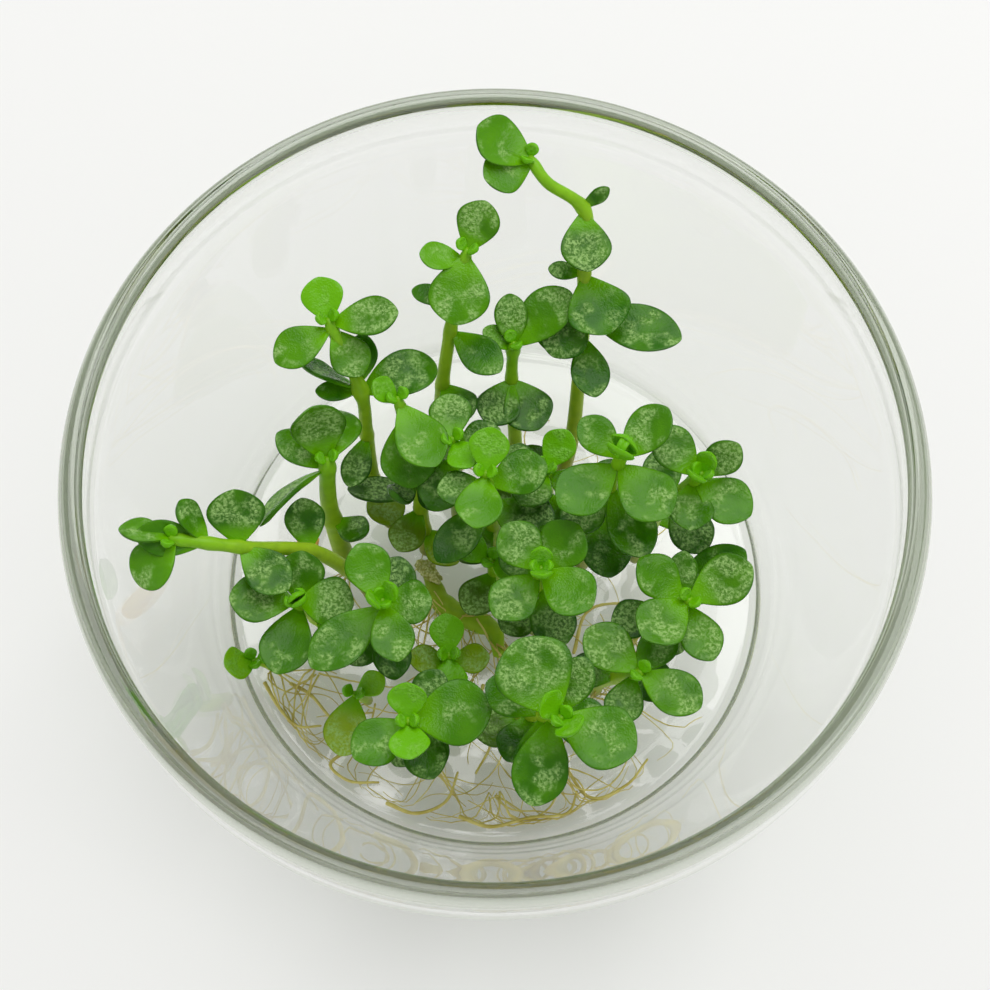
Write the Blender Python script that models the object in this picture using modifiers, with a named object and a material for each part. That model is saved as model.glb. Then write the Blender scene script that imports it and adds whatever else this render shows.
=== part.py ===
"""Tissue-culture water hyssop: a clump of rooted shoots in a small clear glass bowl.

The bowl stands on its foot ring with its axis at the origin, +Z up. Every shoot grew as one piece:
a stem that rises from the floor of the bowl and bears crossed pairs of fleshy, spoon-shaped leaves.
The camera side of the clump is -Y. Routes and leaf lengths are written in millimetres.
"""

import math
import random
from collections import namedtuple

import bmesh
import bpy
from mathutils import Matrix, Vector
from mathutils.bvhtree import BVHTree

MM = 0.001

# Driving sizes of the glass bowl
RIM_RADIUS = 52.5 * MM
BOWL_HEIGHT = 50.0 * MM
WALL = 3.0 * MM
RIM_BAND = 9.0 * MM
FOOT_RADIUS = 35.5 * MM
FOOT_WIDTH = 4.0 * MM
HEEL_ROUND = 2.5 * MM
WALL_BOW = math.radians(2.5)
FLOOR_THICKNESS = 5.0 * MM
FLOOR_ROUND = 2.5 * MM
PUNT_DEPTH = 1.2 * MM
BOWL_STEPS = 32

# Driving sizes of the plant
STEM_RADIUS = 0.95 * MM
LEAF_THICKNESS = 0.9 * MM
LEAF_CUP = 0.16
LEAF_SIZE = 1.08
CLEARANCE = 0.3 * MM
ROOT_RADIUS = 0.3 * MM
STEM_POINT_SPACING = 10.0 * MM
ROOT_POINT_SPACING = 3.6 * MM
LEAF_RINGS = 6
SMALL_LEAF = 5.7
SHORTEST_EDGE = 0.01 * MM
TURN_VARIATION = 4
CURL_VARIATION = 8

# The clump is drawn for a bowl of these inner radii and this depth, in mm, and spreads with them
DRAWN_RADIUS = 49.5
DRAWN_FLOOR_RADIUS = 34.8
DRAWN_DEPTH = 45.0
DRAWN_FLOOR = 5.0

Leaf = namedtuple("Leaf", "back azimuth rise length width curl roll", defaults=(0.78, 25, 0))
Shoot = namedtuple("Shoot", "name route leaves girth", defaults=(1.0,))

# Each route runs from the foot (x, y) on the floor through (x, y, z) points to the growing tip.
# Each leaf gives its distance back from the tip along the stem, its compass direction and rise in
# degrees, its length, and where it differs its width to length, its curl and its roll.
SHOOTS = (
    Shoot("shoot_front_tall", ((2, -21), (3, -22, 16), (5.5, -25.5, 31), (7.8, -29.6, 45)), (
        Leaf(0.6, 135, 38, 4.0, 0.9), Leaf(0.6, -55, 38, 4.2, 0.9),
        Leaf(2.6, 118, 8, 9.6, 0.95, 10), Leaf(2.6, -28, 0, 9.4, 0.8, 10),
        Leaf(5.5, 58, 6, 7.6, 0.62, 20), Leaf(5.5, -107, -6, 10.2, 0.62, -20),
        Leaf(12, -92, -18, 8.5, 0.75, -20), Leaf(12, 150, 0, 7.5, 0.7, 20),
        Leaf(13, -15, -12, 8.0, 0.75, 15),
        Leaf(20, -120, -10, 6.5, 0.75, 20), Leaf(20, 10, -5, 7.0, 0.75, 25),
        Leaf(27, 200, 0, 6.5, 0.85, 20), Leaf(27, -60, -5, 6.0, 0.8, 25))),
    Shoot("shoot_back_arching", ((9, 14.5), (10.5, 17, 16), (11.1, 21, 26), (11.4, 25, 33),
                                 (11.5, 30.3, 39), (11.6, 36.6, 45), (6.6, 39.3, 48.2),
                                 (4.4, 42.2, 49.5)), (
        Leaf(0.8, 158, 6, 8.0, 0.82, 30), Leaf(0.8, 196, -8, 6.4, 0.86, 35, -20),
        Leaf(9.5, 35, 18, 4.2, 0.5, 10, 55), Leaf(9.8, -86, -22, 7.6, 0.8, 20),
        Leaf(18.5, -66, -12, 8.0, 0.98, 15), Leaf(18.5, 172, 5, 4.4, 0.55, 10),
        Leaf(24, -20, 0, 12.4, 0.52, 15), Leaf(23, -122, -8, 7.2, 0.85, -15),
        Leaf(27, -76, -22, 8.0, 0.6, 15), Leaf(27, 185, -5, 5.5, 0.7, 20))),
    Shoot("shoot_back_middle", ((-8, 15.5), (-7.5, 18.3, 20), (-6.8, 20.3, 30), (-5.4, 25.2, 38.5),
                                (-3.5, 31.0, 46)), (
        Leaf(0.6, 62, 22, 6.6, 0.8, 15), Leaf(0.6, -96, -16, 8.6, 0.86, 5),
        Leaf(1.5, 178, 8, 5.6, 0.68, 15), Leaf(8, 158, 8, 5.6, 0.5, -15),
        Leaf(12, -42, -8, 8.0, 0.6, 10), Leaf(21, -60, 5, 6.5, 0.75, 25))),
    Shoot("shoot_back_forked", ((2.5, 14.5), (2.8, 17, 14), (2.2, 20.4, 27), (2.4, 23, 35)), (
        Leaf(0.9, 32, 28, 9.8, 0.62, -35), Leaf(1.1, 96, 52, 6.8, 0.6, -45),
        Leaf(1.5, 160, 50, 4.6, 0.6, -25), Leaf(7, -110, -2, 6.8, 0.82, 15),
        Leaf(7, -62, -12, 7.4, 0.85, 20))),
    Shoot("shoot_back_left", ((-14.5, 8.5), (-16.5, 11, 16), (-16.9, 13.4, 27), (-17.3, 16, 36),
                              (-21.1, 22.4, 43.5)), (
        Leaf(0.6, 108, 14, 5.6, 0.9, 20), Leaf(0.6, 6, 6, 8.3, 0.62, 15),
        Leaf(1.4, 213, 0, 7.8, 0.66, -15), Leaf(1.4, -58, -32, 6.6, 0.75, 20),
        Leaf(10, 80, 30, 6.4, 0.62, 20), Leaf(10.5, 160, 12, 8.0, 0.5, 10, 50),
        Leaf(11, 182, -4, 5.4, 0.5, 15), Leaf(11.5, -12, 18, 10.0, 0.62, -55),
        Leaf(20, -108, -8, 7.4, 0.5, 20), Leaf(31, -70, 0, 7.0, 0.7, 20))),
    Shoot("shoot_centre_left", ((-9.5, 4.5), (-10, 6.5, 18), (-10.2, 9.4, 29), (-12.4, 14, 38)), (
        Leaf(0.8, -62, -6, 9.4, 0.66, 12), Leaf(0.8, 150, 30, 4.5, 0.7, 20),
        Leaf(3.0, -84, -36, 8.8, 0.78, 12), Leaf(18.5, 180, -4, 9.0, 0.5, 5, 20),
        Leaf(14, 232, -22, 7.2, 0.5, 120), Leaf(14, -20, -10, 6.0, 0.75, 20),
        Leaf(22, -115, -10, 6.4, 0.75, 25), Leaf(28, -50, 0, 6.8, 0.7, 20))),
    Shoot("shoot_left_cupped", ((-20, 1.5), (-21, 2.6, 14), (-21.8, 4.6, 25), (-21.4, 7, 34.5)), (
        Leaf(0.8, 104, 34, 9.0, 0.74, 50), Leaf(0.8, 78, 12, 7.6, 0.8, -40),
        Leaf(2.2, 152, 10, 7.4, 0.55, 10), Leaf(2.2, 208, 16, 11.0, 0.36, -45, 55),
        Leaf(14, -35, 10, 6.4, 0.6, 40)), 1.35),
    Shoot("shoot_left_lying", ((-16.5, -2.5), (-18.5, -2, 13), (-23.5, -2.6, 26), (-31.5, -4.4, 33),
                               (-40.5, -4.6, 37)), (
        Leaf(0.6, 168, 12, 6.6, 0.6, -10, 30), Leaf(0.8, 222, -14, 7.2, 0.84, -15),
        Leaf(5.0, 180, 20, 8.6, 0.5, -10, -25), Leaf(5.0, 138, 26, 6.2, 0.66, 20, 35),
        Leaf(9.0, 98, 26, 7.0, 0.98, 20), Leaf(9.0, -38, -10, 7.8, 0.7, 15),
        Leaf(20, 100, 8, 6.6, 0.75, 25), Leaf(20, -100, 0, 6.0, 0.8, 25)), 1.05),
    Shoot("shoot_left_low", ((-21.5, -8), (-22.5, -8.6, 12), (-24, -9.6, 21.5), (-25.2, -10.7, 31)), (
        Leaf(0.4, 130, 55, 3.0, 0.8, 20), Leaf(0.4, -50, 55, 3.0, 0.8, 20),
        Leaf(1.2, 182, 4, 8.0, 0.74, 12), Leaf(1.2, -8, 2, 6.8, 0.95, 15),
        Leaf(3.2, 86, 8, 6.6, 0.86, 15), Leaf(3.2, -106, -4, 9.0, 0.7, 12),
        Leaf(12, -30, -5, 6.0, 0.8, 20))),
    Shoot("shoot_centre_front_left", ((-13, -9.5), (-13.4, -10, 14), (-14, -11, 25), (-14, -12, 35)), (
        Leaf(0.4, 30, 50, 3.4, 0.8, 20), Leaf(0.4, 210, 50, 3.4, 0.8, 20),
        Leaf(1.2, 118, 8, 7.4, 0.74, 12), Leaf(1.2, -78, -2, 7.4, 0.7, 10),
        Leaf(3.0, 2, 2, 5.8, 0.95, 15), Leaf(3.0, 226, -4, 11.2, 0.54, 10),
        Leaf(8, 74, 2, 7.0, 0.75, 15), Leaf(11, -84, -10, 7.6, 0.62, 10),
        Leaf(12, 228, -16, 7.2, 0.66, 15))),
    Shoot("shoot_front_left", ((-8.5, -19), (-9, -20.5, 13), (-10, -24, 24), (-10.7, -27, 33)), (
        Leaf(0.5, 92, 22, 4.8, 0.95, 30), Leaf(0.5, -86, 16, 5.4, 0.88, 20),
        Leaf(2.2, 4, 2, 9.6, 0.84, 8), Leaf(2.2, 214, 0, 7.8, 0.74, 10),
        Leaf(6.5, 60, 4, 6.4, 0.7, 15), Leaf(6.5, -70, -12, 7.6, 0.7, 12),
        Leaf(12, -78, -20, 7.2, 0.7, 15), Leaf(13, -118, -14, 6.8, 0.7, 12))),
    Shoot("shoot_centre_cross", ((5.5, -7), (5.6, -7.4, 16), (5.2, -8, 28), (5.7, -8.8, 38)), (
        Leaf(0.4, 90, 48, 3.2, 0.85, 20), Leaf(0.4, -90, 48, 3.2, 0.85, 20),
        Leaf(1.4, 130, 6, 6.8, 0.86, 12), Leaf(1.4, -36, 2, 7.6, 0.84, 12),
        Leaf(2.4, 47, 12, 7.2, 0.86, 12), Leaf(2.8, 230, 0, 7.6, 0.76, 12),
        Leaf(10, -62, -8, 8.0, 0.7, 10), Leaf(10, 120, 0, 6.5, 0.75, 20),
        Leaf(18, -140, -5, 6.0, 0.8, 25), Leaf(18, 20, 0, 6.5, 0.75, 25))),
    Shoot("shoot_right_budded", ((12, 2.5), (12.6, 2.2, 16), (14, 2.4, 31), (15.5, 3.3, 46)), (
        Leaf(0.4, 60, 62, 3.8, 0.95, 35), Leaf(0.4, -120, 62, 3.8, 0.95, 35),
        Leaf(1.6, 140, 8, 6.4, 0.7, 15), Leaf(1.6, 46, 8, 8.0, 0.66, 12),
        Leaf(3.2, 216, -8, 8.6, 0.74, 12), Leaf(3.2, -50, -4, 8.6, 0.8, 10),
        Leaf(10, -62, -6, 9.6, 0.6, 12), Leaf(10, 228, -6, 7.6, 0.7, 12),
        Leaf(18, -80, -10, 8.6, 0.7, 15), Leaf(18, 80, 0, 6.5, 0.75, 20))),
    Shoot("shoot_right", ((19.5, 3.5), (20, 3.4, 14), (22, 3, 28), (25.6, 2.4, 41.5)), (
        Leaf(0.4, 60, 45, 3.4, 0.8, 25), Leaf(0.4, -130, 45, 3.4, 0.8, 25),
        Leaf(1.4, 136, 12, 7.4, 0.72, 12), Leaf(1.4, 34, 34, 6.4, 0.7, 10, 40),
        Leaf(3.0, -98, -2, 6.2, 0.86, 12), Leaf(3.0, -34, -4, 7.8, 0.74, 12),
        Leaf(11, -60, -8, 7.6, 0.72, 15), Leaf(12, 100, 0, 6.5, 0.75, 20),
        Leaf(21, 20, -4, 6.0, 0.8, 25))),
    Shoot("shoot_right_front", ((18.5, -8.5), (19, -9, 13), (21, -10.4, 25), (24, -12.6, 37)), (
        Leaf(0.6, 226, 6, 7.6, 0.84, 12), Leaf(0.6, 24, 8, 8.4, 0.74, 12),
        Leaf(2.4, 140, 4, 7.2, 0.74, 12), Leaf(2.4, -68, -4, 7.8, 0.64, 12),
        Leaf(4.0, 86, 12, 6.2, 0.6, 15), Leaf(9, 34, 4, 11.6, 0.52, 12),
        Leaf(10, 200, -8, 6.6, 0.75, 20), Leaf(18, -50, -5, 6.0, 0.8, 25))),
    Shoot("shoot_front_right", ((13.5, -15.5), (14, -16.4, 13), (16, -18.8, 24), (17.9, -21, 34)), (
        Leaf(0.6, 138, 6, 7.8, 0.76, 12), Leaf(0.6, -34, 2, 8.2, 0.7, 12),
        Leaf(3.0, 44, 2, 7.0, 0.66, 15), Leaf(3.0, -112, -8, 6.4, 0.72, 15),
        Leaf(12, -10, -6, 7.0, 0.75, 20), Leaf(12, 170, -4, 6.0, 0.75, 20))),
    Shoot("shoot_back_small", ((-5, 9), (-5.2, 9, 16), (-5.2, 8.8, 28), (-5.4, 8.8, 37)), (
        Leaf(0.6, 118, 10, 6.0, 0.86, 12), Leaf(0.6, -60, 14, 5.0, 0.85, 15),
        Leaf(6, -112, -8, 7.2, 0.76, 12), Leaf(6, 30, 4, 6.4, 0.78, 12),
        Leaf(15, 180, 0, 6.0, 0.75, 25))),
    Shoot("shoot_centre", ((0, 3.5), (0, 3.4, 15), (-0.6, 3.2, 28), (-1.2, 3.2, 39.5)), (
        Leaf(0.6, 82, 14, 5.6, 0.86, 15), Leaf(0.6, -104, 6, 7.2, 0.78, 10),
        Leaf(4, 14, 0, 7.4, 0.8, 12), Leaf(4, 190, 0, 6.0, 0.75, 15),
        Leaf(11, -128, -6, 9.6, 0.52, 5), Leaf(11, -30, -6, 8.6, 0.78, 12),
        Leaf(20, 60, 0, 6.5, 0.75, 20), Leaf(20, -110, -8, 6.5, 0.72, 20))),
    Shoot("shoot_centre_back", ((7, 8.5), (7, 8.4, 14), (6.6, 7.6, 30)), (
        Leaf(0.6, 60, 14, 5.4, 0.8, 20), Leaf(0.6, -118, 6, 6.6, 0.8, 15),
        Leaf(3, -24, 0, 6.8, 0.76, 15), Leaf(3, 158, 4, 6.0, 0.78, 15),
        Leaf(10, -70, -8, 7.2, 0.76, 15), Leaf(10, 110, 0, 6.2, 0.76, 20))),
    Shoot("shoot_centre_low", ((0.5, -2.5), (0.6, -2.8, 12), (-0.6, -3, 24)), (
        Leaf(0.5, 150, 20, 5.4, 0.75, 20), Leaf(0.5, -30, 20, 5.0, 0.75, 20),
        Leaf(5, -120, -8, 6.6, 0.74, 15), Leaf(5, 60, 0, 5.6, 0.75, 20))),
    Shoot("shoot_front_small", ((-6.5, -13.5), (-6.4, -14, 11), (-6, -14.8, 20)), (
        Leaf(0.5, 92, 12, 5.2, 0.82, 15), Leaf(0.5, -88, 0, 5.4, 0.8, 15),
        Leaf(4, 180, 0, 5.0, 0.75, 20), Leaf(4, 0, -4, 5.2, 0.75, 20)), 0.8),
    Shoot("seedling_left", ((-30, -12.5), (-31, -12.8, 9), (-32.4, -13.2, 12)), (
        Leaf(0.6, 206, 2, 5.0, 0.86, 12), Leaf(0.6, 20, 8, 4.6, 0.8, 15)), 0.7),
    Shoot("seedling_front_left", ((-17.2, -17), (-17.8, -17.8, 10), (-18.6, -18.6, 15)), (
        Leaf(0.6, -106, -8, 7.8, 0.72, 10), Leaf(0.6, 30, 10, 4.4, 0.75, 15)), 0.7),
)

# The creeping stem that the shoots branched from, and the thicker roots, all on the bowl's floor
CREEPING_STEM = ((-9.4, 1.7), (-7.4, -3.4), (-3.6, -5.8), (-0.4, -7.4), (0.6, -11.0))
CREEPING_STEM_RADIUS = 1.6 * MM
CREEPING_STEM_POINT_SPACING = 2.5 * MM
ROOTS = {
    "root_left_hooked": ((-31.5, -14.5), (-29.4, -18.0), (-26.8, -20.6), (-23.6, -20.6)),
    "root_left_arc": ((-28.0, -14.6), (-25.0, -16.4), (-21.6, -20.2), (-18.0, -21.6)),
    "root_front_left": ((-20.0, -24.0), (-22.2, -26.0), (-19.6, -28.2), (-15.6, -28.4)),
    "root_front_arc": ((-14.6, -31.2), (-10.6, -32.6), (-6.6, -31.0), (-5.0, -27.0)),
    "root_front_long": ((-4.8, -33.0), (-0.6, -34.4), (4.6, -33.2), (9.6, -32.6), (11.0, -29.6)),
    "root_front_right": ((8.6, -24.6), (12.6, -30.4), (17.6, -28.8), (20.6, -25.2)),
    "root_middle": ((-1.6, -14.8), (-2.4, -18.6), (-0.6, -22.8), (-2.6, -27.2)),
    "root_right": ((10.8, -10.4), (12.6, -4.6), (17.0, -3.2), (23.0, -4.2)),
}
SHED_LEAF = Leaf(0, 222, 3, 4.0, 0.75, 10)
SHED_LEAF_PLACE = (-24.5, 6.0)

LEAF_GREEN = (0.075, 0.27, 0.012)
LEAF_YELLOW = (0.62, 0.42, 0.03)
STEM_LIME = (0.30, 0.42, 0.03)
ROOT_TAN = (0.42, 0.34, 0.10)
GLASS_TINT = (0.90, 0.93, 0.90)


# Materials and collections

def principled(name, colour, roughness, transmission=0.0):
    material = bpy.data.materials.new(name)
    material.use_nodes = True
    shader = material.node_tree.nodes["Principled BSDF"]
    shader.inputs["Base Color"].default_value = (*colour, 1.0)
    shader.inputs["Roughness"].default_value = roughness
    shader.inputs["Metallic"].default_value = 0.0
    shader.inputs["Transmission Weight"].default_value = transmission
    material.diffuse_color = (*colour, 1.0)
    return material


def new_collection(name):
    collection = bpy.data.collections.new(name)
    bpy.context.scene.collection.children.link(collection)
    return collection


def mesh_object(name, mesh, collection, material=None):
    made = bpy.data.objects.new(name, mesh)
    collection.objects.link(made)
    if material:
        mesh.materials.append(material)
    return made


def hide_tool(made):
    """A shape that is only joined into another is drawn as wire and left out of the model."""
    made.hide_render = True
    made.display_type = "WIRE"


# The glass bowl

def wall_lean():
    """How far the wall leans out from upright at the heel, a little more than the straight line."""
    return math.atan2(RIM_RADIUS - FOOT_RADIUS, BOWL_HEIGHT - RIM_BAND) + WALL_BOW


def heel_point(turn):
    """A point (radius, height) on the round between the foot and the wall, turned up from below."""
    return FOOT_RADIUS + HEEL_ROUND * math.sin(turn), HEEL_ROUND * (1 - math.cos(turn))


def outer_radius(height):
    """Outer radius of the wall: it leans out from the heel and steepens to the band at the rim."""
    heel_radius, heel_height = heel_point(math.pi / 2 - wall_lean())
    band_rise = BOWL_HEIGHT - RIM_BAND - heel_height
    steepening = (heel_radius + math.tan(wall_lean()) * band_rise - RIM_RADIUS) / band_rise ** 2
    rise = min(max(height - heel_height, 0.0), band_rise)
    return heel_radius + math.tan(wall_lean()) * rise - steepening * rise ** 2


def corner_top():
    """Height at which the round corner of the floor runs into the wall."""
    return FLOOR_THICKNESS + FLOOR_ROUND * (1 - math.sin(wall_lean()))


def floor_radius():
    """Radius of the flat floor inside the bowl."""
    return outer_radius(corner_top()) - WALL - FLOOR_ROUND * math.cos(wall_lean())


def inner_radius(height):
    """Inner radius of the bowl, with the rounded corner between its floor and its wall."""
    if height >= corner_top():
        return outer_radius(height) - WALL
    drop = 1 - (max(height, FLOOR_THICKNESS) - FLOOR_THICKNESS) / FLOOR_ROUND
    return floor_radius() + FLOOR_ROUND * math.sqrt(1 - drop * drop)


def bowl_profile():
    """Points (radius, height): up the inside from the floor, over the rim, down the outside."""
    band_bottom = BOWL_HEIGHT - RIM_BAND
    heel_turn = math.pi / 2 - wall_lean()
    heel_height = heel_point(heel_turn)[1]
    wall_steps = 3
    points = [(0.0, FLOOR_THICKNESS), (floor_radius(), FLOOR_THICKNESS)]
    corner_height = FLOOR_THICKNESS + FLOOR_ROUND * (1 - math.cos(heel_turn / 2))
    points.append((inner_radius(corner_height), corner_height))
    for step in range(wall_steps + 1):
        height = corner_top() + (band_bottom - corner_top()) * step / wall_steps
        points.append((inner_radius(height), height))
    rim_round = WALL / 2
    for step in range(4):
        turn = math.pi * (1 - step / 3)
        points.append((RIM_RADIUS - rim_round + rim_round * math.cos(turn),
                       BOWL_HEIGHT - rim_round + rim_round * math.sin(turn)))
    for step in range(wall_steps + 1):
        height = band_bottom + (heel_height - band_bottom) * step / wall_steps
        points.append((outer_radius(height), height))
    points += [heel_point(heel_turn / 2), heel_point(0.0)]
    foot_inside = FOOT_RADIUS - FOOT_WIDTH
    points += [(foot_inside, 0.0), (foot_inside - PUNT_DEPTH, PUNT_DEPTH), (0.0, 1.4 * PUNT_DEPTH)]
    return points


def build_bowl(collection, material):
    bm = bmesh.new()
    corners = [bm.verts.new((radius, 0.0, height)) for radius, height in bowl_profile()]
    for start, end in zip(corners, corners[1:]):
        bm.edges.new((start, end))
    mesh = bpy.data.meshes.new("glass_bowl")
    bm.to_mesh(mesh)
    bm.free()
    bowl = mesh_object("glass_bowl", mesh, collection, material)
    turn = bowl.modifiers.new("turn", "SCREW")
    turn.axis = "Z"
    turn.steps = turn.render_steps = BOWL_STEPS
    turn.use_merge_vertices = True
    turn.merge_threshold = 0.00001
    turn.use_smooth_shade = True
    return bowl


# Stems and roots

def placed(point):
    """A drawn point in mm, spread with the bowl that the clump stands in, in metres."""
    share = (point[2] - DRAWN_FLOOR) / DRAWN_DEPTH
    at_floor = floor_radius() / DRAWN_FLOOR_RADIUS
    spread = at_floor + ((RIM_RADIUS - WALL) / DRAWN_RADIUS - at_floor) * share
    return Vector((point[0] * spread, point[1] * spread,
                   FLOOR_THICKNESS + (BOWL_HEIGHT - FLOOR_THICKNESS) * share))


def on_floor(point, lift):
    """A drawn point (x, y) on the bowl's floor, raised by a lift, in metres."""
    x, y, z = placed((*point, DRAWN_FLOOR))
    return Vector((x, y, z + lift))


def smooth_route(points, spacing):
    """Points about one spacing apart on a smooth curve through the drawn ones."""
    ends = [2 * points[0] - points[1], *points, 2 * points[-1] - points[-2]]
    route = [points[0]]
    for before, start, end, after in zip(ends, ends[1:], ends[2:], ends[3:]):
        pieces = max(1, round((end - start).length / spacing))
        for piece in range(1, pieces + 1):
            t = piece / pieces
            route.append(0.5 * (2 * start + (end - before) * t
                                + (2 * before - 5 * start + 4 * end - after) * t ** 2
                                + (3 * start - before - 3 * end + after) * t ** 3))
    return route


def tube(name, route, radii, collection, roundness=1):
    """A filled tube along the route, made a mesh with its end caps welded on."""
    curve = bpy.data.curves.new(name, "CURVE")
    curve.dimensions = "3D"
    curve.bevel_depth = 1.0
    curve.bevel_resolution = roundness
    curve.use_fill_caps = True
    spline = curve.splines.new("POLY")
    spline.points.add(len(route) - 1)
    for point, place, radius in zip(spline.points, route, radii):
        point.co = (*place, 1.0)
        point.radius = radius
    guide = bpy.data.objects.new(name + "_guide", curve)
    bpy.context.scene.collection.objects.link(guide)
    depsgraph = bpy.context.evaluated_depsgraph_get()
    mesh = bpy.data.meshes.new_from_object(guide.evaluated_get(depsgraph))
    bpy.data.objects.remove(guide)
    bm = bmesh.new()
    bm.from_mesh(mesh)
    bmesh.ops.remove_doubles(bm, verts=bm.verts, dist=0.00001)
    bmesh.ops.recalc_face_normals(bm, faces=bm.faces)
    bm.to_mesh(mesh)
    bm.free()
    return mesh_object(name, mesh, collection)


def stem_route(shoot):
    """The stem's centre line: its foot stands on the floor of the bowl."""
    foot = on_floor(shoot.route[0], CLEARANCE)
    return smooth_route([foot, *map(placed, shoot.route[1:])], STEM_POINT_SPACING)


def stem_radii(shoot, route):
    """Thickest low on the stem, thin below the tip, with the bud as a blunt end."""
    last = len(route) - 1
    girth = STEM_RADIUS * shoot.girth
    radii = [girth * (1.12 - 0.34 * index / last) for index in range(last + 1)]
    radii[0] = girth * 0.9
    radii[-1] = girth * 0.55
    return radii


def point_back(route, back):
    """The point that lies a distance back from the route's end."""
    for start, end in zip(route[::-1], route[-2::-1]):
        run = (end - start).length
        if back <= run:
            return start.lerp(end, back / run)
        back -= run
    return route[0].copy()


# Leaves

def leaf_frame(leaf):
    """Axes of a leaf: along its blade, across it, and out of its upper face."""
    azimuth, rise = math.radians(leaf.azimuth), math.radians(leaf.rise)
    along = Vector((math.cos(azimuth) * math.cos(rise), math.sin(azimuth) * math.cos(rise),
                    math.sin(rise)))
    across = along.cross(Vector((0, 0, 1))).normalized()
    across.rotate(Matrix.Rotation(math.radians(leaf.roll), 3, along))
    return along, across, across.cross(along)


def leaf_outline(t):
    """Half width of a spoon-shaped blade, 1 at its widest, at t along its length."""
    return max(math.sin(math.pi * t ** 1.45), 0.0) ** 0.62


def leaf_shape(leaf, origin, grow=0.0):
    """One leaf from a sphere of three sides: flat and cupped above, and keeled below.

    Where it is a test it is grown by a margin, and by twice as much at its edges, which lie below
    the raised upper face."""
    along, across, out = leaf_frame(leaf)
    length = leaf.length * LEAF_SIZE * MM
    half_width = length * leaf.width / 2 + 2 * grow
    bend = math.radians(leaf.curl) or 0.01
    bm = bmesh.new()
    rings = LEAF_RINGS if leaf.length > SMALL_LEAF else LEAF_RINGS - 1
    bmesh.ops.create_uvsphere(bm, u_segments=3, v_segments=rings, radius=1.0)
    for vert in bm.verts:
        x, y, z = vert.co
        t = (1 - z) / 2
        girth = math.hypot(x, y)
        ring = leaf_outline(t) if girth > 0.001 else 0.0
        keel = ring > 0 and y / girth > 0.9
        side = 0.0 if keel or ring == 0 else math.copysign(1.0, x)
        run = length * t + (grow if t > 0.5 else 0.0)
        arc = bend * run / length
        centre = along * (length * math.sin(arc) / bend) + out * (length * (1 - math.cos(arc)) / bend)
        up = out * math.cos(arc) - along * math.sin(arc)
        depth = -(LEAF_THICKNESS + grow) * min(1.0, 1.6 * ring) if keel else grow
        cup = LEAF_CUP * half_width * ring * side * side
        vert.co = origin + centre + across * (half_width * ring * side) + up * (depth + cup)
    bmesh.ops.recalc_face_normals(bm, faces=bm.faces)
    return bm


def inside_bowl(bm):
    """Whether every corner of a leaf lies clear of the bowl's wall and floor."""
    for vert in bm.verts:
        x, y, z = vert.co
        if z < FLOOR_THICKNESS + CLEARANCE:
            return False
        if z < BOWL_HEIGHT + CLEARANCE and math.hypot(x, y) > inner_radius(z) - CLEARANCE:
            return False
    return True


# How far a leaf may turn and lift from its drawn direction, and shrink, to miss its neighbours
TURNS = ((0, 0), (0, 8), (0, -8), (10, 0), (-10, 0), (10, 10), (-10, 10), (10, -10), (-10, -10),
         (0, 18), (0, -18), (22, 0), (-22, 0), (22, 16), (-22, 16), (22, -16), (-22, -16),
         (36, 8), (-36, 8), (0, 32), (36, -14), (-36, -14))
SHRINKS = (1.0, 0.88, 0.76, 0.64)


def fitted_leaf(leaf, origin, neighbours):
    """The leaf, turned or shrunk just enough to miss its neighbours, or None where none fits."""
    for shrink in SHRINKS:
        for turn, lift in TURNS:
            tried = leaf._replace(azimuth=leaf.azimuth + turn, rise=leaf.rise + lift,
                                  length=leaf.length * shrink)
            grown = leaf_shape(tried, origin, CLEARANCE)
            tree = BVHTree.FromBMesh(grown)
            fits = inside_bowl(grown) and not any(tree.overlap(other) for other in neighbours)
            grown.free()
            if fits:
                return tried
    return None


def tree_of(mesh):
    bm = bmesh.new()
    bm.from_mesh(mesh)
    tree = BVHTree.FromBMesh(bm)
    bm.free()
    return tree


def join_leaves(stem, blades):
    """Makes the stem and its leaves one closed mesh. Slivers that the joining leaves are drawn
    together, the shortest edge first, so that the mesh stays closed."""
    join = stem.modifiers.new("leaves", "BOOLEAN")
    join.operation = "UNION"
    join.operand_type = "COLLECTION"
    join.collection = blades
    join.solver = "EXACT"
    depsgraph = bpy.context.evaluated_depsgraph_get()
    bm = bmesh.new()
    bm.from_object(stem, depsgraph)
    stem.modifiers.remove(join)
    bmesh.ops.triangulate(bm, faces=bm.faces)
    while True:
        shortest = min(bm.edges, key=lambda edge: edge.calc_length())
        if shortest.calc_length() > SHORTEST_EDGE:
            break
        bmesh.ops.collapse(bm, edges=[shortest])
    bm.to_mesh(stem.data)
    bm.free()


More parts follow.
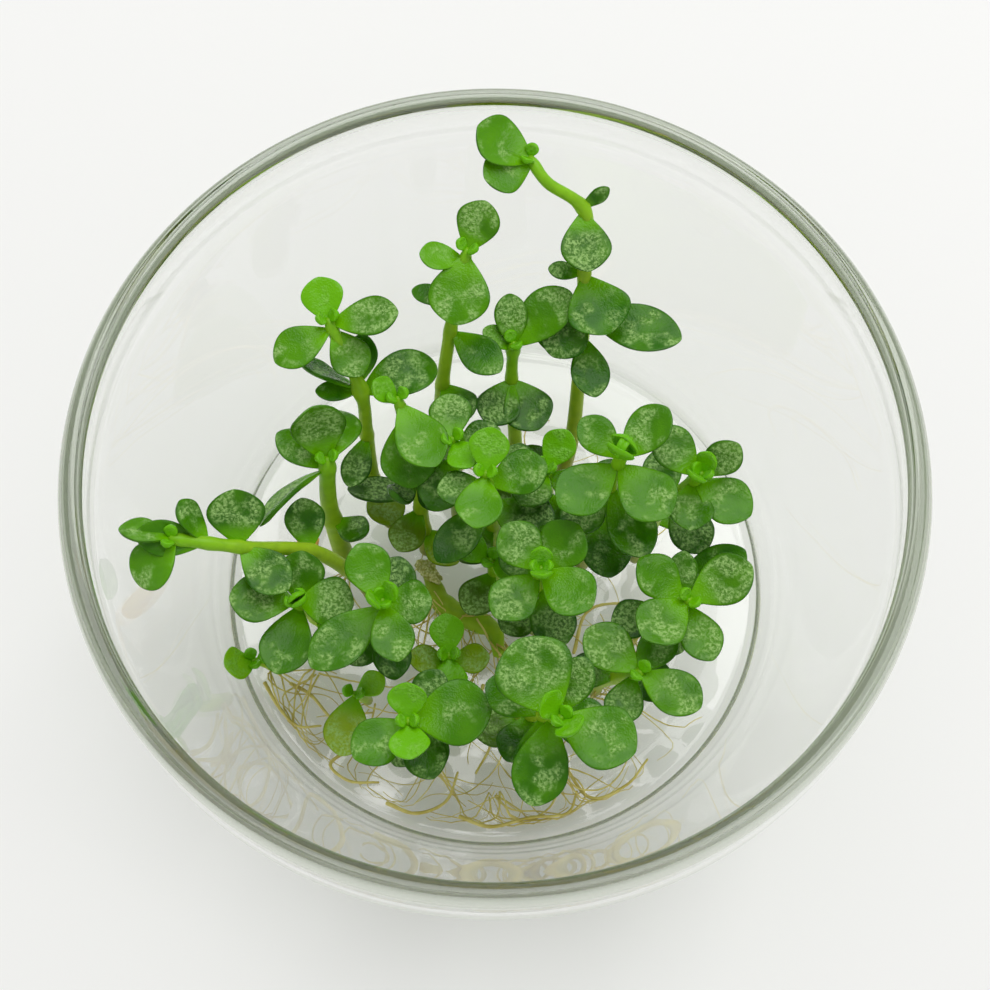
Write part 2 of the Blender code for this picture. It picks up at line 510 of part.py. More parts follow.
def build_plant(collection, tools, green, lime, tan, yellow):
    """Roots and stems take their places first, then the leaves, shoot by shoot."""
    routes = {shoot.name: stem_route(shoot) for shoot in SHOOTS}
    taken = {}
    stems = {}
    for shoot in SHOOTS:
        route = routes[shoot.name]
        stem = tube(shoot.name, route, stem_radii(shoot, route), collection)
        stem.data.materials.append(green)
        stems[shoot.name] = stem
        taken[shoot.name] = [tree_of(stem.data)]

    lying = [on_floor(point, CLEARANCE + CREEPING_STEM_RADIUS) for point in CREEPING_STEM]
    creeping = smooth_route(lying, CREEPING_STEM_POINT_SPACING)
    swelling = [CREEPING_STEM_RADIUS * (0.5 + 0.5 * math.sin(math.pi * (index + 0.5) / len(creeping)))
                for index in range(len(creeping))]
    runner = tube("stem_creeping", creeping, swelling, collection)
    runner.data.materials.append(lime)
    taken["stem_creeping"] = [tree_of(runner.data)]

    for name, drawn in ROOTS.items():
        points = [on_floor(point, CLEARANCE + ROOT_RADIUS) for point in drawn]
        route = smooth_route(points, ROOT_POINT_SPACING)
        root = tube(name, route, [ROOT_RADIUS] * len(route), collection, roundness=0)
        root.data.materials.append(tan)
        taken[name] = [tree_of(root.data)]

    shed_origin = on_floor(SHED_LEAF_PLACE, 2 * CLEARANCE + LEAF_THICKNESS)
    shed = fitted_leaf(SHED_LEAF, shed_origin, [tree for trees in taken.values() for tree in trees])
    if shed:
        bm = leaf_shape(shed, shed_origin)
        taken["leaf_shed"] = [BVHTree.FromBMesh(bm)]
        mesh = bpy.data.meshes.new("leaf_shed")
        bm.to_mesh(mesh)
        bm.free()
        mesh_object("leaf_shed", mesh, collection, yellow)

    for number, shoot in enumerate(SHOOTS):
        vary = random.Random(number)
        neighbours = [tree for name, trees in taken.items() if name != shoot.name for tree in trees]
        blades = new_collection(shoot.name + "_leaves")
        tools.children.link(blades)
        bpy.context.scene.collection.children.unlink(blades)
        for count, drawn in enumerate(shoot.leaves):
            turned = drawn.azimuth + vary.uniform(-TURN_VARIATION, TURN_VARIATION)
            curled = drawn.curl + vary.uniform(-CURL_VARIATION, CURL_VARIATION)
            wanted = drawn._replace(azimuth=turned, curl=curled)
            origin = point_back(routes[shoot.name], wanted.back * MM)
            leaf = fitted_leaf(wanted, origin, neighbours)
            if leaf is None:
                continue
            bm = leaf_shape(leaf, origin)
            taken[shoot.name].append(BVHTree.FromBMesh(bm))
            mesh = bpy.data.meshes.new(f"{shoot.name}_leaf_{count}")
            bm.to_mesh(mesh)
            bm.free()
            hide_tool(mesh_object(mesh.name, mesh, blades))
        join_leaves(stems[shoot.name], blades)


for leftover in list(bpy.data.objects):
    bpy.data.objects.remove(leftover)

PARTS = new_collection("water_hyssop_in_bowl")
TOOLS = new_collection("leaves_before_joining")
build_bowl(PARTS, principled("clear_glass", GLASS_TINT, 0.03, transmission=1.0))
build_plant(PARTS, TOOLS, principled("leaf_green", LEAF_GREEN, 0.4),
            principled("stem_lime", STEM_LIME, 0.45), principled("root_tan", ROOT_TAN, 0.6),
            principled("leaf_yellow", LEAF_YELLOW, 0.5))
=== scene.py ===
"""Tissue-culture water hyssop in its glass bowl: the living surfaces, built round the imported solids.

Sizes are in metres, with +Z up and the camera on the -Y side. Routes and leaf lengths are in mm.
"""

import math
import random

import bmesh
import bpy
from mathutils import Matrix, Vector, noise
from mathutils.kdtree import KDTree


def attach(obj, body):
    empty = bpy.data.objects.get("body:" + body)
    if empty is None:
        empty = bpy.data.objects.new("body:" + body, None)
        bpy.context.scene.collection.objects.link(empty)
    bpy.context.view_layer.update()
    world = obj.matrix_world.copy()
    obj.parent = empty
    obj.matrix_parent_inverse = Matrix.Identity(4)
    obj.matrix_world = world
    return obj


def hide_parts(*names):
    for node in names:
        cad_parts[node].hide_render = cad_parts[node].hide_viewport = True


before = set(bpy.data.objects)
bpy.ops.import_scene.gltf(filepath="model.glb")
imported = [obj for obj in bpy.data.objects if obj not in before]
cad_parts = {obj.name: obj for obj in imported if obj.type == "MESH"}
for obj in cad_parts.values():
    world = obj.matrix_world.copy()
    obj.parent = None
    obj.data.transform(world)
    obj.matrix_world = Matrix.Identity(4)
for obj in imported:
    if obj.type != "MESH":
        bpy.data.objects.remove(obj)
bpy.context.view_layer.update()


# The glass bowl
# A small soda-lime bowl, pressed in a turned mould and fire-polished, so that its rim and every corner
# are round. The wall is 3 mm thick and upright at the rim, and the bowl stands on a foot ring.
MM = 0.001
RIM_RADIUS = 52.5 * MM
BOWL_HEIGHT = 50.0 * MM
WALL = 3.0 * MM
RIM_BAND = 9.0 * MM
FOOT_RADIUS = 35.5 * MM
FOOT_WIDTH = 4.0 * MM
HEEL_ROUND = 2.5 * MM
WALL_BOW = math.radians(2.5)
FLOOR_THICKNESS = 5.0 * MM
FLOOR_ROUND = 2.5 * MM
PUNT_DEPTH = 1.2 * MM
PUNT_SLOPE = 5.0 * MM
TURNED_STEPS = 256
WALL_STEPS = 24
OUTER_STEPS = 90
PUNT_STEPS = 8
TRAPPED_DEPTH = 3.5

# Shallow rings that the turned mould left above the heel: spacing, size and where each wave starts
MOULD_RINGS = ((2.3 * MM, 0.012 * MM, 0.4), (3.7 * MM, 0.018 * MM, 1.9), (6.1 * MM, 0.022 * MM, 3.1))
MOULD_RINGS_TOP = 14.0 * MM
MOULD_RINGS_FADE = 6.0 * MM


def linear(colour):
    """An sRGB hex colour as linear red, green, blue and alpha."""
    parts = [int(colour[place:place + 2], 16) / 255 for place in (1, 3, 5)]
    return (*[part / 12.92 if part <= 0.04045 else ((part + 0.055) / 1.055) ** 2.4
              for part in parts], 1.0)


def add_node(tree, kind, settings=None, links=None, **options):
    """A node of that kind, with its options, its sockets' settings and what is linked into them."""
    node = tree.nodes.new(kind)
    for name, value in options.items():
        setattr(node, name, value)
    for socket, value in (settings or {}).items():
        node.inputs[socket].default_value = value
    for socket, source in (links or {}).items():
        tree.links.new(source, node.inputs[socket])
    return node


def new_material(name):
    """An empty material, with its node tree and its output node."""
    material = bpy.data.materials.new(name)
    material.use_nodes = True
    material.node_tree.nodes.clear()
    return material, material.node_tree, add_node(material.node_tree, "ShaderNodeOutputMaterial")


def mixed_colour(tree, share, first, second):
    """A colour between two, each a colour or a socket, by a share from a socket."""
    mix = add_node(tree, "ShaderNodeMix", links={0: share}, data_type="RGBA")
    for socket, value in ((6, first), (7, second)):
        if isinstance(value, bpy.types.NodeSocket):
            tree.links.new(value, mix.inputs[socket])
        else:
            mix.inputs[socket].default_value = value
    return mix.outputs[2]


def show_piece(name, bm, slot, replaced, *materials):
    """Makes the mesh a smooth piece that rides with the plant and stands for the solids it replaces."""
    bmesh.ops.recalc_face_normals(bm, faces=bm.faces)
    mesh = bpy.data.meshes.new(name)
    bm.to_mesh(mesh)
    bm.free()
    mesh.shade_smooth()
    for material in materials:
        mesh.materials.append(material)
    piece = bpy.data.objects.new(name, mesh)
    bpy.context.scene.collection.objects.link(piece)
    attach(piece, "root")
    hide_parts(*replaced)


def wall_lean():
    """How far the wall leans out from upright where it leaves the heel."""
    return math.atan2(RIM_RADIUS - FOOT_RADIUS, BOWL_HEIGHT - RIM_BAND) + WALL_BOW


def outer_radius(height):
    """The wall leans out from the heel and steepens to the upright band at the rim."""
    heel_turn = math.pi / 2 - wall_lean()
    heel_radius = FOOT_RADIUS + HEEL_ROUND * math.sin(heel_turn)
    heel_height = HEEL_ROUND * (1 - math.cos(heel_turn))
    band_rise = BOWL_HEIGHT - RIM_BAND - heel_height
    steepening = (heel_radius + math.tan(wall_lean()) * band_rise - RIM_RADIUS) / band_rise ** 2
    rise = min(max(height - heel_height, 0.0), band_rise)
    return heel_radius + math.tan(wall_lean()) * rise - steepening * rise ** 2


def mould_ring(height):
    """How far the mould's rings make the wall stand out at a height."""
    fade = min(1.0, (height - HEEL_ROUND) / HEEL_ROUND, (MOULD_RINGS_TOP - height) / MOULD_RINGS_FADE)
    return max(0.0, fade) * sum(size * math.sin(2 * math.pi * height / spacing + start)
                                for spacing, size, start in MOULD_RINGS)


def corner_top():
    """The height at which the floor's rounded corner has become the wall."""
    return FLOOR_THICKNESS + FLOOR_ROUND * (1 - math.sin(wall_lean()))


def floor_radius():
    """How far the floor is flat."""
    return outer_radius(corner_top()) - WALL - FLOOR_ROUND * math.cos(wall_lean())


def rounding(radius, height, size, start, end, steps=8):
    """Points (radius, height) of an arc about a centre, from one angle in radians to another."""
    return [(radius + size * math.cos(start + (end - start) * step / steps),
             height + size * math.sin(start + (end - start) * step / steps))
            for step in range(steps + 1)]


def bowl_profile():
    """Up the inside from the middle of the floor, over the rim, down the outside and under the foot."""
    lean = wall_lean()
    rim_round = WALL / 2
    inner_foot = FOOT_RADIUS - FOOT_WIDTH
    wall_top = BOWL_HEIGHT - rim_round
    inner = [corner_top() + (wall_top - corner_top()) * step / WALL_STEPS
             for step in range(1, WALL_STEPS)]
    outer = [wall_top - (wall_top - HEEL_ROUND) * step / OUTER_STEPS for step in range(1, OUTER_STEPS)]
    points = [(0.0, FLOOR_THICKNESS), (floor_radius() / 2, FLOOR_THICKNESS)]
    points += rounding(floor_radius(), FLOOR_THICKNESS + FLOOR_ROUND, FLOOR_ROUND, -math.pi / 2, -lean)
    points += [(outer_radius(height) - WALL, height) for height in inner]
    points += rounding(RIM_RADIUS - rim_round, wall_top, rim_round, math.pi, 0.0, 16)
    points += [(outer_radius(height) + mould_ring(height), height) for height in outer]
    points += rounding(FOOT_RADIUS, HEEL_ROUND, HEEL_ROUND, -lean, -math.pi / 2)
    points += [(inner_foot - PUNT_SLOPE * step / PUNT_STEPS,
                PUNT_DEPTH * (1 - math.cos(math.pi * step / PUNT_STEPS)) / 2)
               for step in range(PUNT_STEPS + 1)]
    points.append((0.0, 1.4 * PUNT_DEPTH))
    return points


def bowl_mesh():
    """The profile turned about the bowl's axis, drawn together to one corner at each end."""
    bm = bmesh.new()
    corners = [bm.verts.new((radius, 0.0, height)) for radius, height in bowl_profile()]
    edges = [bm.edges.new(ends) for ends in zip(corners, corners[1:])]
    bmesh.ops.spin(bm, geom=[*corners, *edges], cent=(0, 0, 0), axis=(0, 0, 1), angle=2 * math.pi,
                   steps=TURNED_STEPS)
    bmesh.ops.remove_doubles(bm, verts=bm.verts, dist=0.001 * MM)
    return bm


def clear_glass():
    """Polished soda-lime glass: it shows what is behind it, with grey-green lines where the wall is
    seen along its length. Lamp light and light off the plants pass it, as they do through so thin a
    wall, and light that would go round and round inside it comes out a little greyed."""
    material, tree, output = new_material("clear_soda_lime_glass")
    glass = add_node(tree, "ShaderNodeBsdfPrincipled", {
        "Base Color": (1.0, 1.0, 1.0, 1.0), "Roughness": 0.0, "IOR": 1.52, "Transmission Weight": 1.0})
    path = add_node(tree, "ShaderNodeLightPath").outputs
    softened = add_node(tree, "ShaderNodeMath", links={
        0: path["Is Shadow Ray"], 1: path["Is Diffuse Ray"]}, operation="MAXIMUM").outputs[0]
    trapped = add_node(tree, "ShaderNodeMath", {1: TRAPPED_DEPTH}, {0: path["Ray Depth"]},
                       operation="GREATER_THAN").outputs[0]
    plain = add_node(tree, "ShaderNodeMath", links={0: softened, 1: trapped},
                     operation="MAXIMUM").outputs[0]
    passed = add_node(tree, "ShaderNodeBsdfTransparent", links={
        "Color": mixed_colour(tree, softened, linear("#E6E9E2"), linear("#FDFDFD"))})
    mixed = add_node(tree, "ShaderNodeMixShader", links={
        0: plain, 1: glass.outputs[0], 2: passed.outputs[0]})
    tint = add_node(tree, "ShaderNodeVolumeAbsorption", {"Color": linear("#ECEFE9"), "Density": 32.0})
    tree.links.new(mixed.outputs[0], output.inputs["Surface"])
    tree.links.new(tint.outputs[0], output.inputs["Volume"])
    return material


show_piece("bowl_fire_polished", bowl_mesh(), "glass", ["glass_bowl"], clear_glass())


# The shoots
# Each grew from one cutting: a soft lime-green stem that bears crossed pairs of thick, water-filled
# leaves, the oldest lowest, and ends in a bud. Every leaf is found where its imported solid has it.
STEM_RADIUS = 0.95 * MM
STEM_SIDES = 18
STEM_RING_SPACING = 0.7 * MM
NODE_SWELLING = 0.16
NODE_LENGTH = 0.9 * MM
LEAF_THICKNESS = 0.9 * MM
LEAF_UPPER, LEAF_UNDER = 0.30, 0.72
GROOVE_DEPTH, GROOVE_WIDTH = 0.16, 0.16
LEAF_CUP = 0.16
LEAF_SIZE = 1.08
LEAF_ROWS = 26
LEAF_SIDES = 24
PALE_BELOW = 22 * MM
PLAIN_BENDS = (25, 0)
CLEARANCE = 0.3 * MM

# In mm, as the leaves are drawn: the length up to which a leaf is small, and how far back from the
# tip a pair of leaves still looks young
SMALL_LEAF = 5.7
YOUNG_WITHIN = 12

# The steps and the variation that the plain solids were built with
STEM_POINT_SPACING = 10.0 * MM
LEAF_RINGS = 6
TURN_VARIATION = 4
CURL_VARIATION = 8

# The inside of the bowl that the routes were drawn in, in mm: its radius at the rim and at the floor,
# its depth, and its floor's height
DRAWN_RADIUS = 49.5
DRAWN_FLOOR_RADIUS = 34.8
DRAWN_DEPTH = 45.0
DRAWN_FLOOR = 5.0

# Name, route from the foot (x, y) to the growing tip, and the leaves: distance back from the tip,
# compass direction, rise, length, width to length, and curl and roll where they aren't the plain
# ones. A last number is the stem's girth.
SHOOTS = (
    ("shoot_front_tall", ((2, -21), (3, -22, 16), (5.5, -25.5, 31), (7.8, -29.6, 45)), (
        (0.6, 135, 38, 4.0, 0.9), (0.6, -55, 38, 4.2, 0.9), (2.6, 118, 8, 9.6, 0.95, 10),
        (2.6, -28, 0, 9.4, 0.8, 10), (5.5, 58, 6, 7.6, 0.62, 20), (5.5, -107, -6, 10.2, 0.62, -20),
        (12, -92, -18, 8.5, 0.75, -20), (12, 150, 0, 7.5, 0.7, 20), (13, -15, -12, 8.0, 0.75, 15),
        (20, -120, -10, 6.5, 0.75, 20), (20, 10, -5, 7.0, 0.75, 25),
        (27, 200, 0, 6.5, 0.85, 20), (27, -60, -5, 6.0, 0.8, 25))),
    ("shoot_back_arching", ((9, 14.5), (10.5, 17, 16), (11.1, 21, 26), (11.4, 25, 33),
                            (11.5, 30.3, 39), (11.6, 36.6, 45), (6.6, 39.3, 48.2),
                            (4.4, 42.2, 49.5)), (
        (0.8, 158, 6, 8.0, 0.82, 30), (0.8, 196, -8, 6.4, 0.86, 35, -20),
        (9.5, 35, 18, 4.2, 0.5, 10, 55), (9.8, -86, -22, 7.6, 0.8, 20),
        (18.5, -66, -12, 8.0, 0.98, 15), (18.5, 172, 5, 4.4, 0.55, 10),
        (24, -20, 0, 12.4, 0.52, 15), (23, -122, -8, 7.2, 0.85, -15),
        (27, -76, -22, 8.0, 0.6, 15), (27, 185, -5, 5.5, 0.7, 20))),
    ("shoot_back_middle", ((-8, 15.5), (-7.5, 18.3, 20), (-6.8, 20.3, 30), (-5.4, 25.2, 38.5),
                           (-3.5, 31.0, 46)), (
        (0.6, 62, 22, 6.6, 0.8, 15), (0.6, -96, -16, 8.6, 0.86, 5), (1.5, 178, 8, 5.6, 0.68, 15),
        (8, 158, 8, 5.6, 0.5, -15), (12, -42, -8, 8.0, 0.6, 10), (21, -60, 5, 6.5, 0.75, 25))),
    ("shoot_back_forked", ((2.5, 14.5), (2.8, 17, 14), (2.2, 20.4, 27), (2.4, 23, 35)), (
        (0.9, 32, 28, 9.8, 0.62, -35), (1.1, 96, 52, 6.8, 0.6, -45), (1.5, 160, 50, 4.6, 0.6, -25),
        (7, -110, -2, 6.8, 0.82, 15), (7, -62, -12, 7.4, 0.85, 20))),
    ("shoot_back_left", ((-14.5, 8.5), (-16.5, 11, 16), (-16.9, 13.4, 27), (-17.3, 16, 36),
                         (-21.1, 22.4, 43.5)), (
        (0.6, 108, 14, 5.6, 0.9, 20), (0.6, 6, 6, 8.3, 0.62, 15), (1.4, 213, 0, 7.8, 0.66, -15),
        (1.4, -58, -32, 6.6, 0.75, 20), (10, 80, 30, 6.4, 0.62, 20), (10.5, 160, 12, 8.0, 0.5, 10, 50),
        (11, 182, -4, 5.4, 0.5, 15), (11.5, -12, 18, 10.0, 0.62, -55),
        (20, -108, -8, 7.4, 0.5, 20), (31, -70, 0, 7.0, 0.7, 20))),
    ("shoot_centre_left", ((-9.5, 4.5), (-10, 6.5, 18), (-10.2, 9.4, 29), (-12.4, 14, 38)), (
        (0.8, -62, -6, 9.4, 0.66, 12), (0.8, 150, 30, 4.5, 0.7, 20), (3.0, -84, -36, 8.8, 0.78, 12),
        (18.5, 180, -4, 9.0, 0.5, 5, 20), (14, 232, -22, 7.2, 0.5, 120),
        (14, -20, -10, 6.0, 0.75, 20), (22, -115, -10, 6.4, 0.75, 25), (28, -50, 0, 6.8, 0.7, 20))),
    ("shoot_left_cupped", ((-20, 1.5), (-21, 2.6, 14), (-21.8, 4.6, 25), (-21.4, 7, 34.5)), (
        (0.8, 104, 34, 9.0, 0.74, 50), (0.8, 78, 12, 7.6, 0.8, -40), (2.2, 152, 10, 7.4, 0.55, 10),
        (2.2, 208, 16, 11.0, 0.36, -45, 55), (14, -35, 10, 6.4, 0.6, 40)), 1.35),
    ("shoot_left_lying", ((-16.5, -2.5), (-18.5, -2, 13), (-23.5, -2.6, 26), (-31.5, -4.4, 33),
                          (-40.5, -4.6, 37)), (
        (0.6, 168, 12, 6.6, 0.6, -10, 30), (0.8, 222, -14, 7.2, 0.84, -15),
        (5.0, 180, 20, 8.6, 0.5, -10, -25), (5.0, 138, 26, 6.2, 0.66, 20, 35),
        (9.0, 98, 26, 7.0, 0.98, 20), (9.0, -38, -10, 7.8, 0.7, 15),
        (20, 100, 8, 6.6, 0.75, 25), (20, -100, 0, 6.0, 0.8, 25)), 1.05),
    ("shoot_left_low", ((-21.5, -8), (-22.5, -8.6, 12), (-24, -9.6, 21.5), (-25.2, -10.7, 31)), (
        (0.4, 130, 55, 3.0, 0.8, 20), (0.4, -50, 55, 3.0, 0.8, 20), (1.2, 182, 4, 8.0, 0.74, 12),
        (1.2, -8, 2, 6.8, 0.95, 15), (3.2, 86, 8, 6.6, 0.86, 15), (3.2, -106, -4, 9.0, 0.7, 12),
        (12, -30, -5, 6.0, 0.8, 20))),
    ("shoot_centre_front_left", ((-13, -9.5), (-13.4, -10, 14), (-14, -11, 25), (-14, -12, 35)), (
        (0.4, 30, 50, 3.4, 0.8, 20), (0.4, 210, 50, 3.4, 0.8, 20), (1.2, 118, 8, 7.4, 0.74, 12),
        (1.2, -78, -2, 7.4, 0.7, 10), (3.0, 2, 2, 5.8, 0.95, 15), (3.0, 226, -4, 11.2, 0.54, 10),
        (8, 74, 2, 7.0, 0.75, 15), (11, -84, -10, 7.6, 0.62, 10), (12, 228, -16, 7.2, 0.66, 15))),
    ("shoot_front_left", ((-8.5, -19), (-9, -20.5, 13), (-10, -24, 24), (-10.7, -27, 33)), (
        (0.5, 92, 22, 4.8, 0.95, 30), (0.5, -86, 16, 5.4, 0.88, 20), (2.2, 4, 2, 9.6, 0.84, 8),
        (2.2, 214, 0, 7.8, 0.74, 10), (6.5, 60, 4, 6.4, 0.7, 15), (6.5, -70, -12, 7.6, 0.7, 12),
        (12, -78, -20, 7.2, 0.7, 15), (13, -118, -14, 6.8, 0.7, 12))),
    ("shoot_centre_cross", ((5.5, -7), (5.6, -7.4, 16), (5.2, -8, 28), (5.7, -8.8, 38)), (
        (0.4, 90, 48, 3.2, 0.85, 20), (0.4, -90, 48, 3.2, 0.85, 20), (1.4, 130, 6, 6.8, 0.86, 12),
        (1.4, -36, 2, 7.6, 0.84, 12), (2.4, 47, 12, 7.2, 0.86, 12), (2.8, 230, 0, 7.6, 0.76, 12),
        (10, -62, -8, 8.0, 0.7, 10), (10, 120, 0, 6.5, 0.75, 20),
        (18, -140, -5, 6.0, 0.8, 25), (18, 20, 0, 6.5, 0.75, 25))),
    ("shoot_right_budded", ((12, 2.5), (12.6, 2.2, 16), (14, 2.4, 31), (15.5, 3.3, 46)), (
        (0.4, 60, 62, 3.8, 0.95, 35), (0.4, -120, 62, 3.8, 0.95, 35), (1.6, 140, 8, 6.4, 0.7, 15),
        (1.6, 46, 8, 8.0, 0.66, 12), (3.2, 216, -8, 8.6, 0.74, 12), (3.2, -50, -4, 8.6, 0.8, 10),
        (10, -62, -6, 9.6, 0.6, 12), (10, 228, -6, 7.6, 0.7, 12),
        (18, -80, -10, 8.6, 0.7, 15), (18, 80, 0, 6.5, 0.75, 20))),
    ("shoot_right", ((19.5, 3.5), (20, 3.4, 14), (22, 3, 28), (25.6, 2.4, 41.5)), (
        (0.4, 60, 45, 3.4, 0.8, 25), (0.4, -130, 45, 3.4, 0.8, 25), (1.4, 136, 12, 7.4, 0.72, 12),
        (1.4, 34, 34, 6.4, 0.7, 10, 40), (3.0, -98, -2, 6.2, 0.86, 12), (3.0, -34, -4, 7.8, 0.74, 12),
        (11, -60, -8, 7.6, 0.72, 15), (12, 100, 0, 6.5, 0.75, 20), (21, 20, -4, 6.0, 0.8, 25))),
    ("shoot_right_front", ((18.5, -8.5), (19, -9, 13), (21, -10.4, 25), (24, -12.6, 37)), (
        (0.6, 226, 6, 7.6, 0.84, 12), (0.6, 24, 8, 8.4, 0.74, 12), (2.4, 140, 4, 7.2, 0.74, 12),
        (2.4, -68, -4, 7.8, 0.64, 12), (4.0, 86, 12, 6.2, 0.6, 15), (9, 34, 4, 11.6, 0.52, 12),
        (10, 200, -8, 6.6, 0.75, 20), (18, -50, -5, 6.0, 0.8, 25))),
    ("shoot_front_right", ((13.5, -15.5), (14, -16.4, 13), (16, -18.8, 24), (17.9, -21, 34)), (
        (0.6, 138, 6, 7.8, 0.76, 12), (0.6, -34, 2, 8.2, 0.7, 12), (3.0, 44, 2, 7.0, 0.66, 15),
        (3.0, -112, -8, 6.4, 0.72, 15), (12, -10, -6, 7.0, 0.75, 20), (12, 170, -4, 6.0, 0.75, 20))),
    ("shoot_back_small", ((-5, 9), (-5.2, 9, 16), (-5.2, 8.8, 28), (-5.4, 8.8, 37)), (
        (0.6, 118, 10, 6.0, 0.86, 12), (0.6, -60, 14, 5.0, 0.85, 15), (6, -112, -8, 7.2, 0.76, 12),
        (6, 30, 4, 6.4, 0.78, 12), (15, 180, 0, 6.0, 0.75, 25))),
    ("shoot_centre", ((0, 3.5), (0, 3.4, 15), (-0.6, 3.2, 28), (-1.2, 3.2, 39.5)), (
        (0.6, 82, 14, 5.6, 0.86, 15), (0.6, -104, 6, 7.2, 0.78, 10), (4, 14, 0, 7.4, 0.8, 12),
        (4, 190, 0, 6.0, 0.75, 15), (11, -128, -6, 9.6, 0.52, 5), (11, -30, -6, 8.6, 0.78, 12),
        (20, 60, 0, 6.5, 0.75, 20), (20, -110, -8, 6.5, 0.72, 20))),
    ("shoot_centre_back", ((7, 8.5), (7, 8.4, 14), (6.6, 7.6, 30)), (
        (0.6, 60, 14, 5.4, 0.8, 20), (0.6, -118, 6, 6.6, 0.8, 15), (3, -24, 0, 6.8, 0.76, 15),
        (3, 158, 4, 6.0, 0.78, 15), (10, -70, -8, 7.2, 0.76, 15), (10, 110, 0, 6.2, 0.76, 20))),
    ("shoot_centre_low", ((0.5, -2.5), (0.6, -2.8, 12), (-0.6, -3, 24)), (
        (0.5, 150, 20, 5.4, 0.75, 20), (0.5, -30, 20, 5.0, 0.75, 20), (5, -120, -8, 6.6, 0.74, 15),
        (5, 60, 0, 5.6, 0.75, 20))),
    ("shoot_front_small", ((-6.5, -13.5), (-6.4, -14, 11), (-6, -14.8, 20)), (
        (0.5, 92, 12, 5.2, 0.82, 15), (0.5, -88, 0, 5.4, 0.8, 15), (4, 180, 0, 5.0, 0.75, 20),
        (4, 0, -4, 5.2, 0.75, 20)), 0.8),
    ("seedling_left", ((-30, -12.5), (-31, -12.8, 9), (-32.4, -13.2, 12)), (
        (0.6, 206, 2, 5.0, 0.86, 12), (0.6, 20, 8, 4.6, 0.8, 15)), 0.7),
    ("seedling_front_left", ((-17.2, -17), (-17.8, -17.8, 10), (-18.6, -18.6, 15)), (
        (0.6, -106, -8, 7.8, 0.72, 10), (0.6, 30, 10, 4.4, 0.75, 15)), 0.7),
)

# How a leaf that would have touched a neighbour was turned and lifted, in degrees, or shrunk
TURNS = ((0, 0), (0, 8), (0, -8), (10, 0), (-10, 0), (10, 10), (-10, 10), (10, -10), (-10, -10),
         (0, 18), (0, -18), (22, 0), (-22, 0), (22, 16), (-22, 16), (22, -16), (-22, -16),
         (36, 8), (-36, 8), (0, 32), (36, -14), (-36, -14))
SHRINKS = (1.0, 0.88, 0.76, 0.64)

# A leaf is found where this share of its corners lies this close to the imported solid's
FOUND_SHARE = 0.4
FOUND_WITHIN = 0.03 * MM

# What each point of a plant's skin knows about its place, for the materials
MARKS = ("along", "across", "upper", "young", "tone", "pale")
STEM_SLOT, LEAF_SLOT = 0, 1


def placed(point):
    """A drawn point in mm, spread with the bowl that the clump stands in, in metres."""
    share = (point[2] - DRAWN_FLOOR) / DRAWN_DEPTH
    at_floor = floor_radius() / DRAWN_FLOOR_RADIUS
    spread = at_floor + ((RIM_RADIUS - WALL) / DRAWN_RADIUS - at_floor) * share
    return Vector((point[0] * spread, point[1] * spread,
                   FLOOR_THICKNESS + (BOWL_HEIGHT - FLOOR_THICKNESS) * share))


def on_floor(point, lift):
    """A drawn point (x, y) of the bowl's floor, lifted off it, in metres."""
    x, y, z = placed((*point, DRAWN_FLOOR))
    return Vector((x, y, z + lift))


def smooth_route(points, spacing):
    """Points about one spacing apart on a smooth curve through the drawn ones."""
    ends = [2 * points[0] - points[1], *points, 2 * points[-1] - points[-2]]
    route = [points[0]]
    for before, start, end, after in zip(ends, ends[1:], ends[2:], ends[3:]):
        pieces = max(1, round((end - start).length / spacing))
        for piece in range(1, pieces + 1):
            t = piece / pieces
            route.append(0.5 * (2 * start + (end - before) * t
                                + (2 * before - 5 * start + 4 * end - after) * t ** 2
                                + (3 * start - before - 3 * end + after) * t ** 3))
    return route


def point_back(route, back):
    """The point that lies a distance back from the route's end."""
    for start, end in zip(route[::-1], route[-2::-1]):
        run = (end - start).length
        if back <= run:
            return start.lerp(end, back / run)
        back -= run
    return route[0].copy()


def marked_mesh():
    """An empty mesh whose points can carry the marks."""
    bm = bmesh.new()
    for mark in MARKS:
        bm.verts.layers.float.new(mark)
    return bm


def add_skin(bm, rings, marks, slot=0):
    """Skins rings of points, drawn together to a point at each end. marks(row, side) gives each
    point's marks; row 0 and the last row are the end points."""
    layers = [bm.verts.layers.float[mark] for mark in MARKS]

    def add_point(place, row, side):
        made = bm.verts.new(place)
        for layer, value in zip(layers, marks(row, side)):
            made[layer] = value
        return made

    sides = len(rings[1])
    rows = [[add_point(place, row, side) for side, place in enumerate(ring)]
            for row, ring in enumerate(rings)]
    for side in range(sides):
        after = (side + 1) % sides
        bm.faces.new((rows[0][0], rows[1][side], rows[1][after])).material_index = slot
        bm.faces.new((rows[-2][side], rows[-1][0], rows[-2][after])).material_index = slot
        for low, high in zip(rows[1:-2], rows[2:-1]):
            bm.faces.new((low[side], high[side], high[after], low[after])).material_index = slot


def tube_rings(route, radii, sides):
    """Rings round a route, each turned as little as can be from the one before, with round ends."""
    rings = []
    beside = None
    for index, (place, radius) in enumerate(zip(route, radii)):
        ahead = route[min(index + 1, len(route) - 1)] - route[max(index - 1, 0)]
        ahead.normalize()
        if beside is None:
            beside = ahead.orthogonal()
        beside = (beside - ahead * beside.dot(ahead)).normalized()
        third = ahead.cross(beside)
        rings.append([place + (beside * math.cos(turn) + third * math.sin(turn)) * radius
                      for turn in (2 * math.pi * side / sides for side in range(sides))])
    start, end = (route[1] - route[0]).normalized(), (route[-1] - route[-2]).normalized()
    return [[route[0] - start * radii[0] * 0.4], *rings, [route[-1] + end * radii[-1] * 0.6]]


